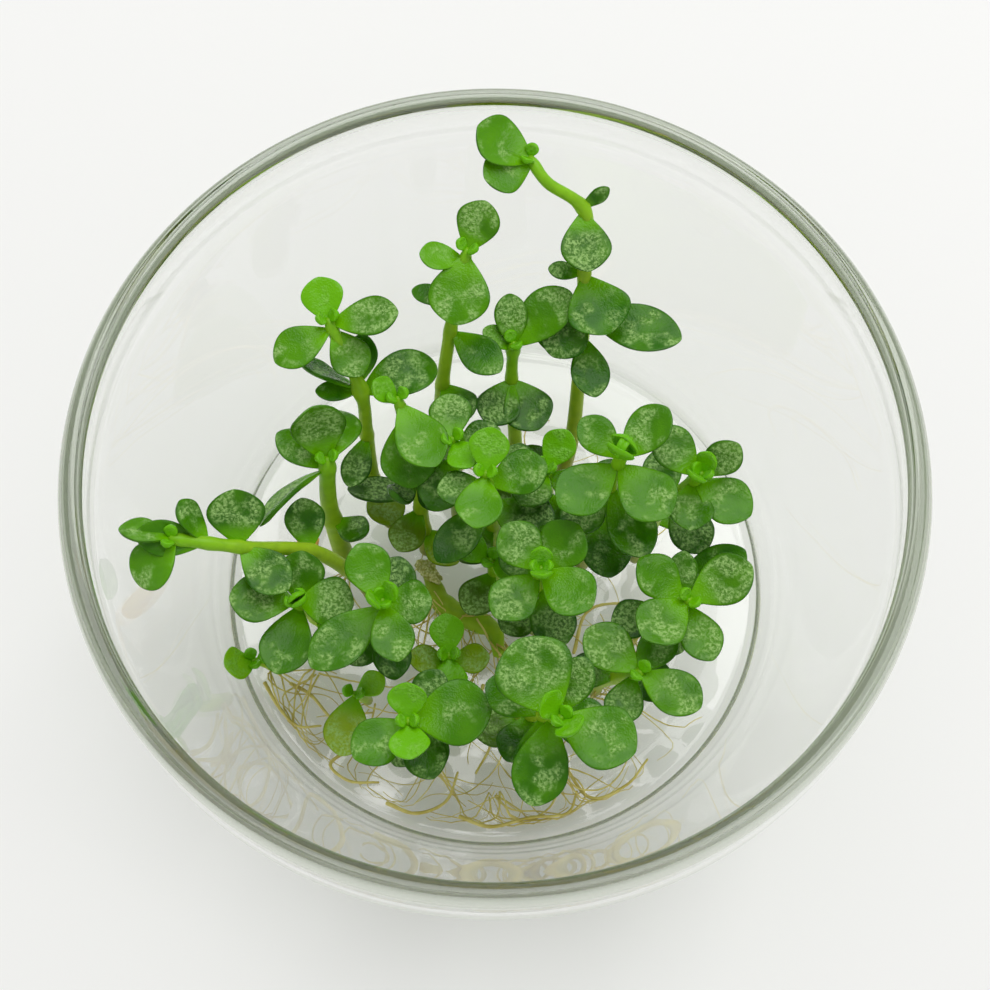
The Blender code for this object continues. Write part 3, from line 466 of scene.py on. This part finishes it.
def leaf_frame(azimuth, rise, roll):
    """Axes of a leaf: along its blade, across it, and out of its upper face."""
    azimuth, rise = math.radians(azimuth), math.radians(rise)
    along = Vector((math.cos(azimuth) * math.cos(rise), math.sin(azimuth) * math.cos(rise),
                    math.sin(rise)))
    across = along.cross(Vector((0, 0, 1))).normalized()
    across.rotate(Matrix.Rotation(math.radians(roll), 3, along))
    return along, across, across.cross(along)


def leaf_outline(t):
    """Half width of a spoon-shaped blade, 1 at its widest, at t along its length."""
    return max(math.sin(math.pi * t ** 1.45), 0.0) ** 0.62


def blade_place(leaf, t):
    """The middle of the blade at t along it, and the direction out of its upper face there."""
    azimuth, rise, length, width, curl, roll = leaf
    along, across, out = leaf_frame(azimuth, rise, roll)
    length *= LEAF_SIZE * MM
    bend = math.radians(curl) or 0.01
    arc = bend * t
    centre = along * (length * math.sin(arc) / bend) + out * (length * (1 - math.cos(arc)) / bend)
    return centre, across, out * math.cos(arc) - along * math.sin(arc)


def edge_points(leaf, drawn_length, origin):
    """Corners that the leaf's plain solid has along its two edges and at its tip."""
    half_width = leaf[2] * LEAF_SIZE * MM * leaf[3] / 2
    rings = LEAF_RINGS if drawn_length > SMALL_LEAF else LEAF_RINGS - 1
    points = []
    for ring in range(2, rings):
        t = (1 - math.cos(math.pi * ring / rings)) / 2
        centre, across, up = blade_place(leaf, t)
        wide = half_width * leaf_outline(t)
        points += [origin + centre + across * wide * side + up * LEAF_CUP * wide for side in (-1, 1)]
    points.append(origin + blade_place(leaf, 1.0)[0])
    return points


def found_leaf(leaf, origin, corners):
    """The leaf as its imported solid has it, or None where it found no room and never grew."""
    azimuth, rise, length, *rest = leaf
    best = (0, None)
    for shrink in SHRINKS:
        for turn, lift in TURNS:
            tried = (azimuth + turn, rise + lift, length * shrink, *rest)
            points = edge_points(tried, tried[2], origin)
            share = sum(corners.find(point)[2] < FOUND_WITHIN for point in points) / len(points)
            if share > best[0]:
                best = (share, tried)
    return best[1] if best[0] > FOUND_SHARE else None


def add_leaf(bm, leaf, origin, young, pale, vary, slot=LEAF_SLOT):
    """One leaf: rounded margins, two soft ridges beside a shallow midrib, and a fleshy underside."""
    half_width = leaf[2] * LEAF_SIZE * MM * leaf[3] / 2
    twist = math.radians(vary.uniform(-9, 9))
    waves = vary.uniform(0, 2 * math.pi)
    wave_size = vary.uniform(0.03, 0.10) * half_width
    tone = vary.random()
    turns = [2 * math.pi * side / LEAF_SIDES for side in range(LEAF_SIDES)]
    rings = []
    for row in range(LEAF_ROWS + 1):
        t = (1 - math.cos(math.pi * row / LEAF_ROWS)) / 2
        centre, across, up = blade_place(leaf, t)
        if row in (0, LEAF_ROWS):
            rings.append([origin + centre])
            continue
        tilt = twist * t * t
        sideways = across * math.cos(tilt) + up * math.sin(tilt)
        upward = up * math.cos(tilt) - across * math.sin(tilt)
        wide = leaf_outline(t)
        thick = LEAF_THICKNESS * min(1.0, 1.6 * wide) * (0.8 if leaf[2] < SMALL_LEAF else 1.0)
        ring = []
        for turn in turns:
            side = math.cos(turn)
            face = math.copysign(abs(math.sin(turn)) ** 0.75, math.sin(turn))
            upper = face > 0
            swell = thick * face * (LEAF_UPPER if upper else LEAF_UNDER)
            furrow = GROOVE_DEPTH * thick * math.exp(-(side / GROOVE_WIDTH) ** 2)
            groove = furrow * (1 - t) if upper else 0.0
            wave = wave_size * wide * side * side * math.sin(waves + 7 * t + 1.5 * side)
            height = LEAF_CUP * half_width * wide * side * side + swell - groove + wave
            ring.append(origin + centre + sideways * half_width * wide * side + upward * height)
        rings.append(ring)

    def marks(row, side):
        t = (1 - math.cos(math.pi * row / LEAF_ROWS)) / 2
        turn = turns[side]
        across = math.cos(turn) if 0 < row < LEAF_ROWS else 0.0
        return t, across, 0.5 + 0.5 * math.sin(turn), young, tone, pale

    add_skin(bm, rings, marks, slot)


def add_stem(bm, route, girth, nodes, tone):
    """The stem, with a slight swelling at each pair of leaves."""
    run = [0.0]
    for start, end in zip(route, route[1:]):
        run.append(run[-1] + (end - start).length)
    radii = []
    for passed in run:
        share = passed / run[-1]
        radius = girth * (1.12 - 0.34 * share)
        radius *= 1 + NODE_SWELLING * sum(
            math.exp(-((run[-1] - passed - back * MM) / NODE_LENGTH) ** 2) for back in nodes)
        to_tip = (run[-1] - passed) / (1.5 * MM)
        to_foot = passed / (0.8 * MM)
        radii.append(radius * min(1.0, 0.55 + 0.45 * to_tip) * min(1.0, 0.75 + 0.25 * to_foot))
    rings = tube_rings(route, radii, STEM_SIDES)
    last = len(rings) - 1
    add_skin(bm, rings, lambda row, side: (row / last, 0.0, 1.0, row / last, tone, 0.0),
             STEM_SLOT)


# A bud's rise, length and curl
OPEN_BUD = (42, 1.9, 20)
HELD_BUD = (70, 3.5, 60)
STEEP_PAIR = 60


def add_bud(bm, tip, pair_below, vary):
    """A pair of half-open leaves at the growing tip, crossed with the pair below. Where that pair is
    still steep, it holds a longer bud between its leaves."""
    azimuth, rise = pair_below
    rise, length, curl = HELD_BUD if rise > STEEP_PAIR else OPEN_BUD
    for turned in (azimuth + 90, azimuth - 90):
        add_leaf(bm, (turned, rise, length, 0.9, curl, 0), tip - Vector((0, 0, 0.2 * MM)), 1.0, 0.0,
                 vary)


def mark(tree, name):
    """What a point's mark of that name says."""
    return add_node(tree, "ShaderNodeAttribute", attribute_name=name).outputs["Fac"]


def ramp(tree, source, low, high, start=0.0, end=1.0):
    """A smooth change from start to end as the source goes from low to high."""
    return add_node(tree, "ShaderNodeMapRange", {1: low, 2: high, 3: start, 4: end}, {0: source},
                    interpolation_type="SMOOTHSTEP").outputs[0]


def times(tree, first, second):
    """Two numbers from sockets, multiplied."""
    return add_node(tree, "ShaderNodeMath", links={0: first, 1: second}, operation="MULTIPLY").outputs[0]


# Surface cells of such a leaf are 0.03 to 0.05 mm across, too fine to show, so their grain is drawn
# 6 to 10 times as coarse.
CUTICLE_GRAIN = 0.26 * MM
CUTICLE_CRINKLE = 0.4 * MM
# The waxy patches are this size: they carry the cuticle's relief and the painted glare of the lamp
WAXY_GLARE_PATCH = 2.4 * MM
MOTTLE = 3.0 * MM


def living_leaf():
    """Leaf flesh under a waxy cuticle: saturated green that lets some light in, smooth at its base
    and margin, with granular patches on the blade where the cuticle's cells stand up and the lamp's
    glare is painted in as pale whitish green, and with painted shade that darkens the lower leaves."""
    material, tree, output = new_material("living_leaf_waxy_cuticle")
    place = add_node(tree, "ShaderNodeTexCoord").outputs["Object"]
    along, across, upper = mark(tree, "along"), mark(tree, "across"), mark(tree, "upper")
    young, tone, pale = mark(tree, "young"), mark(tree, "tone"), mark(tree, "pale")
    offside = add_node(tree, "ShaderNodeMath", links={0: across}, operation="ABSOLUTE").outputs[0]
    mottle = add_node(tree, "ShaderNodeTexNoise", {"Scale": 1 / MOTTLE, "Detail": 2.0},
                      {"Vector": place}).outputs[0]
    patch = add_node(tree, "ShaderNodeTexNoise", {"Scale": 1 / WAXY_GLARE_PATCH, "Detail": 1.5},
                     {"Vector": place}).outputs[0]
    crinkle = add_node(tree, "ShaderNodeTexNoise", {"Scale": 1 / CUTICLE_CRINKLE, "Detail": 2.0,
                                                    "Roughness": 0.65}, {"Vector": place}).outputs[0]
    grain = add_node(tree, "ShaderNodeTexVoronoi", {"Scale": 1 / CUTICLE_GRAIN},
                     {"Vector": place}).outputs[0]

    green = mixed_colour(tree, ramp(tree, young, 0.1, 1.0), linear("#2F6C01"), linear("#5EA201"))
    green = mixed_colour(tree, ramp(tree, tone, 0.0, 1.0, 0.0, 0.5), green, linear("#234F01"))
    green = mixed_colour(tree, ramp(tree, mottle, 0.35, 0.7, 0.0, 0.3), green, linear("#66A804"))
    underside = mixed_colour(tree, ramp(tree, mottle, 0.3, 0.7), linear("#3A7A0A"), linear("#528E12"))
    green = mixed_colour(tree, ramp(tree, upper, 0.35, 0.6), underside, green)
    # Painted shade: the lower a leaf sits, from 36 mm down to 20 mm, the darker green it is painted, for
    # the shade of the leaves above it
    depth = add_node(tree, "ShaderNodeSeparateXYZ", links={0: place}).outputs["Z"]
    green = mixed_colour(tree, ramp(tree, depth, 36 * MM, 20 * MM, 0.0, 0.6), green, linear("#1C4401"))
    green = mixed_colour(tree, ramp(tree, pale, 0.1, 0.9, 0.0, 0.75), green, linear("#9CBC08"))
    green = mixed_colour(tree, ramp(tree, along, 0.12, 0.5, 0.85, 0.0), green, linear("#6CB202"))
    blade = times(tree, ramp(tree, along, 0.26, 0.44), ramp(tree, offside, 0.94, 0.78))
    blade = times(tree, blade, ramp(tree, upper, 0.6, 0.72))
    waxy = add_node(tree, "ShaderNodeMath", {1: 0.22}, {0: tone, 2: patch},
                    operation="MULTIPLY_ADD").outputs[0]
    waxy = times(tree, blade, ramp(tree, waxy, 0.52, 0.74))
    # Painted glare: the lamp's glare on the granular waxy patches is painted into the colour as pale
    # whitish green
    painted_glare = times(tree, waxy, ramp(tree, crinkle, 0.38, 0.66, 0.10, 0.80))
    green = mixed_colour(tree, painted_glare, green, linear("#A6CE7A"))
    green = mixed_colour(tree, ramp(tree, young, 0.8, 1.0, 0.0, 0.75), green, linear("#6FBE0A"))
    margin = times(tree, ramp(tree, offside, 0.92, 1.0, 0.0, 0.5), ramp(tree, young, 1.0, 0.7))
    green = mixed_colour(tree, margin, green, linear("#265203"))

    relief = add_node(tree, "ShaderNodeMath", {1: 0.5}, {0: grain, 2: crinkle},
                      operation="MULTIPLY_ADD").outputs[0]
    relief = add_node(tree, "ShaderNodeMath", {1: 2.2}, {0: patch, 2: relief},
                      operation="MULTIPLY_ADD").outputs[0]
    strength = add_node(tree, "ShaderNodeMapRange", {3: 0.3, 4: 1.0}, {0: waxy}).outputs[0]
    bump = add_node(tree, "ShaderNodeBump", {"Distance": 0.2 * MM},
                    {"Height": relief, "Strength": strength}).outputs[0]
    roughness = add_node(tree, "ShaderNodeMapRange", {3: 0.22, 4: 0.36}, {0: waxy}).outputs[0]
    shader = add_node(tree, "ShaderNodeBsdfPrincipled", {"IOR": 1.42, "Specular IOR Level": 0.26},
                      {"Base Color": green, "Normal": bump, "Roughness": roughness})
    tree.links.new(shader.outputs[0], output.inputs["Surface"])
    return material


def living_stem():
    """A water-filled stem: satin, half clear, olive near its root and lime towards the tip."""
    material, tree, output = new_material("living_stem_satin_lime")
    place = add_node(tree, "ShaderNodeTexCoord").outputs["Object"]
    along = mark(tree, "along")
    streak = add_node(tree, "ShaderNodeTexNoise", {"Scale": 1 / (1.4 * MM), "Detail": 4.0},
                      {"Vector": place}).outputs[0]
    lime = mixed_colour(tree, ramp(tree, along, 0.0, 0.5), linear("#8E9420"), linear("#9CC022"))
    lime = mixed_colour(tree, ramp(tree, along, 0.55, 1.0), lime, linear("#7CBA14"))
    lime = mixed_colour(tree, ramp(tree, streak, 0.4, 0.7, 0.0, 0.3), lime, linear("#5F9210"))
    bump = add_node(tree, "ShaderNodeBump", {"Distance": 0.05 * MM, "Strength": 0.5},
                    {"Height": streak}).outputs[0]
    shader = add_node(tree, "ShaderNodeBsdfPrincipled", {
        "Roughness": 0.36, "IOR": 1.42, "Specular IOR Level": 0.3, "Subsurface Weight": 0.3,
        "Subsurface Radius": (0.9, 1.0, 0.25), "Subsurface Scale": 1.2 * MM},
        {"Base Color": lime, "Normal": bump})
    tree.links.new(shader.outputs[0], output.inputs["Surface"])
    return material


leaf_skin = living_leaf()
stem_skin = living_stem()
for number, (name, drawn_route, drawn_leaves, *girth) in enumerate(SHOOTS):
    foot = on_floor(drawn_route[0], CLEARANCE)
    points = [foot, *map(placed, drawn_route[1:])]
    plain_route = smooth_route(points, STEM_POINT_SPACING)
    route = smooth_route(points, STEM_RING_SPACING)
    corners = KDTree(len(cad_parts[name].data.vertices))
    for index, vert in enumerate(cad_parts[name].data.vertices):
        corners.insert(vert.co, index)
    corners.balance()
    vary = random.Random(number)
    look = random.Random(name)
    bm = marked_mesh()
    add_stem(bm, route, STEM_RADIUS * (girth[0] if girth else 1.0), {leaf[0] for leaf in drawn_leaves},
             look.random())
    for back, azimuth, rise, length, width, *bends in drawn_leaves:
        curl, roll = (*bends, *PLAIN_BENDS[len(bends):])
        azimuth += vary.uniform(-TURN_VARIATION, TURN_VARIATION)
        curl += vary.uniform(-CURL_VARIATION, CURL_VARIATION)
        origin = point_back(plain_route, back * MM)
        leaf = found_leaf((azimuth, rise, length, width, curl, roll), origin, corners)
        if leaf:
            low = (PALE_BELOW - origin.z) / PALE_BELOW
            young = max(0.0, 1 - back / YOUNG_WITHIN) * (1.0 if length < SMALL_LEAF else 0.6)
            add_leaf(bm, leaf, origin, young, min(1.0, max(0.0, 2.4 * low)), look)
    add_bud(bm, route[-1], drawn_leaves[0][1:3], look)
    show_piece(name + "_in_leaf", bm, "shoot", [name], stem_skin, leaf_skin)


# The creeping stem
# The old runner that the shoots branched from: thicker than they are, half clear, and lying on the
# bowl's floor. A knob of pale, granular callus grew on its end, where it was cut.
CREEPING_STEM = ((-9.4, 1.7), (-7.4, -3.4), (-3.6, -5.8), (-0.4, -7.4), (0.6, -11.0))
CREEPING_STEM_RADIUS = 1.6 * MM
CREEPING_STEM_SIDES = 20
CALLUS_PLACE = (-9.0, 0.5)
CALLUS_LIFT = 3.4 * MM
CALLUS_HALF_SIZE = Vector((2.1, 1.1, 1.0)) * MM
CALLUS_HEADING = math.radians(-42)
CALLUS_LUMP = 0.9 * MM
CALLUS_GRANULE = 0.35 * MM
lying = [on_floor(point, CLEARANCE + CREEPING_STEM_RADIUS) for point in CREEPING_STEM]
creeping = smooth_route(lying, 0.4 * MM)
swelling = [CREEPING_STEM_RADIUS * (0.5 + 0.5 * math.sin(math.pi * (index + 0.5) / len(creeping)))
            * (1 + 0.06 * math.sin(index * 0.9)) for index in range(len(creeping))]


def callus_skin():
    """Loose, granular callus: dry, pale beige-green cells, browner in the furrows."""
    material, tree, output = new_material("callus_granular_beige")
    place = add_node(tree, "ShaderNodeTexCoord").outputs["Object"]
    cells = add_node(tree, "ShaderNodeTexVoronoi", {"Scale": 1 / CALLUS_GRANULE},
                     {"Vector": place}).outputs[0]
    beige = mixed_colour(tree, ramp(tree, cells, 0.2, 0.8), linear("#E0DEA2"), linear("#A6A64E"))
    bump = add_node(tree, "ShaderNodeBump", {"Distance": 0.15 * MM, "Strength": 0.8},
                    {"Height": cells}).outputs[0]
    shader = add_node(tree, "ShaderNodeBsdfPrincipled", {"Roughness": 0.6, "IOR": 1.42},
                      {"Base Color": beige, "Normal": bump})
    tree.links.new(shader.outputs[0], output.inputs["Surface"])
    return material


bm = marked_mesh()
rings = tube_rings(creeping, swelling, CREEPING_STEM_SIDES)
add_skin(bm, rings, lambda row, side: (0.2 + 0.5 * row / len(rings), 0.0, 1.0, 0.2, 0.5, 0.0))
turned = Matrix.Rotation(CALLUS_HEADING, 3, "Z")
for vert in bmesh.ops.create_icosphere(bm, subdivisions=5, radius=1.0)["verts"]:
    outward = vert.co.normalized()
    place = turned @ (outward * CALLUS_HALF_SIZE)
    lumps = 0.45 * noise.noise(place / CALLUS_LUMP) + 0.16 * noise.noise(place / CALLUS_GRANULE)
    vert.co = on_floor(CALLUS_PLACE, CALLUS_LIFT) + place * (1 + lumps)
    for face in vert.link_faces:
        face.material_index = 1
show_piece("stem_creeping_runner", bm, "stem", ["stem_creeping"], stem_skin, callus_skin())


# The roots
# Soft tan threads a few tenths of a millimetre thick. The thick ones wander over the bowl's floor,
# and finer ones spring in tufts from the foot of each shoot and from the runner.
ROOT_RADIUS = 0.3 * MM
ROOT_SIDES = 10
ROOTS = {
    "root_left_hooked": ((-31.5, -14.5), (-29.4, -18.0), (-26.8, -20.6), (-23.6, -20.6)),
    "root_left_arc": ((-28.0, -14.6), (-25.0, -16.4), (-21.6, -20.2), (-18.0, -21.6)),
    "root_front_left": ((-20.0, -24.0), (-22.2, -26.0), (-19.6, -28.2), (-15.6, -28.4)),
    "root_front_arc": ((-14.6, -31.2), (-10.6, -32.6), (-6.6, -31.0), (-5.0, -27.0)),
    "root_front_long": ((-4.8, -33.0), (-0.6, -34.4), (4.6, -33.2), (9.6, -32.6), (11.0, -29.6)),
    "root_front_right": ((8.6, -24.6), (12.6, -30.4), (17.6, -28.8), (20.6, -25.2)),
    "root_middle": ((-1.6, -14.8), (-2.4, -18.6), (-0.6, -22.8), (-2.6, -27.2)),
    "root_right": ((10.8, -10.4), (12.6, -4.6), (17.0, -3.2), (23.0, -4.2)),
}

# Tufts of fine roots: where each starts (x, y) and how high, where it heads in degrees, how many
# threads it has and how long they are, in mm
ROOT_TUFTS = (
    (-30, -13, 3, -60, 7, 14), (-24, -13, 6, -80, 8, 16), (-17, -18, 4, -110, 8, 14),
    (-9, -20, 8, -100, 9, 16), (-8, -27, 3, -70, 8, 12), (0, -30, 3, -90, 12, 12),
    (2, -23, 8, -80, 9, 14), (9, -27, 4, -60, 8, 14), (14, -17, 7, -70, 8, 15),
    (-8, -3, 4, -80, 12, 18), (-3, -6, 4, -90, 14, 18), (0, -9, 3, -70, 12, 16),
    (6, -7, 8, -40, 8, 15), (19, -9, 6, -60, 6, 13), (12, 2, 6, 20, 6, 14),
    (-20, 1, 5, 190, 5, 12), (2, 14, 6, 90, 6, 12), (9, 14, 5, 60, 5, 12), (-8, 15, 5, 110, 5, 12),
)
FINE_ROOT_RADIUS = 0.11 * MM
FINE_ROOT_SIDES = 6
FINE_ROOT_STEP = 0.7 * MM

# What a fine root does at each step: it keeps this share of its turning, sinks by this share of its
# height, and near the wall turns off by this many degrees
TURNING_KEPT = 0.82
SINKING = 0.30
WALL_TURN = 35


def root_skin():
    """A living root: a thin, half-clear tan thread, browner in places."""
    material, tree, output = new_material("root_thread_tan")
    place = add_node(tree, "ShaderNodeTexCoord").outputs["Object"]
    stain = add_node(tree, "ShaderNodeTexNoise", {"Scale": 1 / (3.0 * MM), "Detail": 4.0},
                     {"Vector": place}).outputs[0]
    tan = mixed_colour(tree, ramp(tree, stain, 0.35, 0.7), linear("#DCD07A"), linear("#B8A848"))
    bump = add_node(tree, "ShaderNodeBump", {"Distance": 0.03 * MM, "Strength": 0.6},
                    {"Height": stain}).outputs[0]
    shader = add_node(tree, "ShaderNodeBsdfPrincipled", {"Roughness": 0.42, "IOR": 1.40},
                      {"Base Color": tan, "Normal": bump})
    tree.links.new(shader.outputs[0], output.inputs["Surface"])
    return material


def root_marks(row, side):
    """The same marks all over a root, whose material reads none of them."""
    return 0.5, 0.0, 1.0, 0.0, 0.5, 0.0


def wandering(start, heading, length, look):
    """A thread that leaves its start, sinks to the floor and wanders over it, inside the wall."""
    place = start.copy()
    route = [place.copy()]
    lowest = FLOOR_THICKNESS + FINE_ROOT_RADIUS * 1.3
    turn_rate = look.uniform(-6, 6)
    for step in range(int(length * MM / FINE_ROOT_STEP)):
        turn_rate = TURNING_KEPT * turn_rate + look.uniform(-7, 7)
        heading += turn_rate
        ahead = Vector((math.cos(math.radians(heading)), math.sin(math.radians(heading)), 0.0))
        if (place + ahead * 3 * MM).to_2d().length > floor_radius():
            heading += WALL_TURN if ahead.cross(place).z < 0 else -WALL_TURN
        fall = SINKING * (place.z - lowest) if step > 2 else 0.0
        place = place + ahead * FINE_ROOT_STEP
        place.z = max(lowest, place.z - fall + look.uniform(-0.1, 0.12) * MM)
        if place.to_2d().length < floor_radius():
            route.append(place.copy())
    return route


threads = root_skin()
for name, drawn in ROOTS.items():
    look = random.Random(name)
    route = smooth_route([on_floor(point, CLEARANCE + ROOT_RADIUS) for point in drawn], 0.5 * MM)
    radii = [ROOT_RADIUS * (0.9 - 0.4 * index / len(route)) * look.uniform(0.88, 1.1)
             for index in range(len(route))]
    bm = marked_mesh()
    add_skin(bm, tube_rings(route, radii, ROOT_SIDES), root_marks)
    show_piece(name + "_thread", bm, "root", [name], threads)

look = random.Random("fine roots")
bm = marked_mesh()
for x, y, height, heading, count, length in ROOT_TUFTS:
    for thread in range(count):
        start = on_floor((x + look.uniform(-0.8, 0.8), y + look.uniform(-0.8, 0.8)),
                         height * look.uniform(0.1, 1.0) * MM)
        route = wandering(start, heading + look.uniform(-75, 75), length * look.uniform(0.5, 1.25), look)
        girth = FINE_ROOT_RADIUS * look.uniform(0.6, 1.5)
        radii = [girth * (1 - 0.6 * index / len(route)) for index in range(len(route))]
        if len(route) > 3:
            add_skin(bm, tube_rings(route, radii, FINE_ROOT_SIDES), root_marks)
show_piece("roots_fine", bm, "root", [], threads)


# The shed leaf
# One small leaf that has dropped to the floor at the left and yellowed there.
SHED_LEAF = (222, 3, 4.0, 0.75, 10, 0)
SHED_LEAF_PLACE = (-24.5, 6.0)


def yellowed_leaf():
    """A dying leaf: its green is gone, and its flesh is dull, warm yellow with brown flecks."""
    material, tree, output = new_material("yellowed_leaf")
    place = add_node(tree, "ShaderNodeTexCoord").outputs["Object"]
    fleck = add_node(tree, "ShaderNodeTexNoise", {"Scale": 1 / (0.9 * MM), "Detail": 4.0},
                     {"Vector": place}).outputs[0]
    yellow = mixed_colour(tree, ramp(tree, fleck, 0.45, 0.75), linear("#D9B23A"), linear("#A87A1E"))
    shader = add_node(tree, "ShaderNodeBsdfPrincipled", {"Roughness": 0.45, "IOR": 1.42},
                      {"Base Color": yellow})
    tree.links.new(shader.outputs[0], output.inputs["Surface"])
    return material


bm = marked_mesh()
add_leaf(bm, SHED_LEAF, on_floor(SHED_LEAF_PLACE, 2 * CLEARANCE + LEAF_THICKNESS), 0.0, 1.0,
         random.Random("shed"), slot=0)
show_piece("leaf_shed_yellow", bm, "shed_leaf", ["leaf_shed"], yellowed_leaf())


# The table, the light and the camera
# A plain white table under a big soft lamp above and behind the bowl, with dimmer light all round.
TABLE_SIZE = 20.0
LAMP_HEIGHT = 1.1
LAMP_SIZE = 1.0
LAMP_RADIANCE = 3.0
bm = bmesh.new()
bmesh.ops.create_grid(bm, x_segments=1, y_segments=1, size=TABLE_SIZE / 2)
mesh = bpy.data.meshes.new("table")
bm.to_mesh(mesh)
bm.free()
table = bpy.data.objects.new("table", mesh)
table.location.z = -0.1 * MM
bpy.context.scene.collection.objects.link(table)
matte, tree, output = new_material("matte_white_paint")
paint = add_node(tree, "ShaderNodeBsdfDiffuse", {"Color": linear("#F4F4F3")})
tree.links.new(paint.outputs[0], output.inputs["Surface"])
mesh.materials.append(matte)

world = bpy.data.worlds.new("room")
bpy.context.scene.world = world
world.use_nodes = True
tree = world.node_tree
tree.nodes.clear()
direction = add_node(tree, "ShaderNodeTexCoord").outputs["Generated"]
height = add_node(tree, "ShaderNodeSeparateXYZ", links={0: direction}).outputs["Z"]
sky = mixed_colour(tree, ramp(tree, height, 0.05, 0.85), linear("#F6F6F5"), linear("#BABAB8"))
room = add_node(tree, "ShaderNodeBackground", {"Strength": 0.88}, {"Color": sky})
add_node(tree, "ShaderNodeOutputWorld", links={"Surface": room.outputs[0]})

lamp = bpy.data.lights.new("softbox", "AREA")
lamp.shape = "SQUARE"
lamp.size = LAMP_SIZE
lamp.energy = LAMP_RADIANCE * math.pi * LAMP_SIZE ** 2
softbox = bpy.data.objects.new("softbox", lamp)
softbox.location = (0.22, 0.42, LAMP_HEIGHT)
softbox.rotation_euler = Vector(softbox.location).to_track_quat("Z", "Y").to_euler()
bpy.context.scene.collection.objects.link(softbox)

CAMERA_ELEVATION = 69.74
FOCAL_PIXELS = 2172
FRAME_PIXELS = 990
camera = bpy.data.cameras.new("camera")
camera.sensor_width = 36.0
camera.lens = camera.sensor_width * FOCAL_PIXELS / FRAME_PIXELS
viewer = bpy.data.objects.new("camera", camera)
viewer.location = (0.0, -93.2 * MM, 292.7 * MM)
viewer.rotation_euler = (math.radians(90 - CAMERA_ELEVATION), 0.0, 0.0)
bpy.context.scene.collection.objects.link(viewer)
bpy.context.scene.camera = viewer
bpy.context.scene.view_settings.view_transform = "Standard"
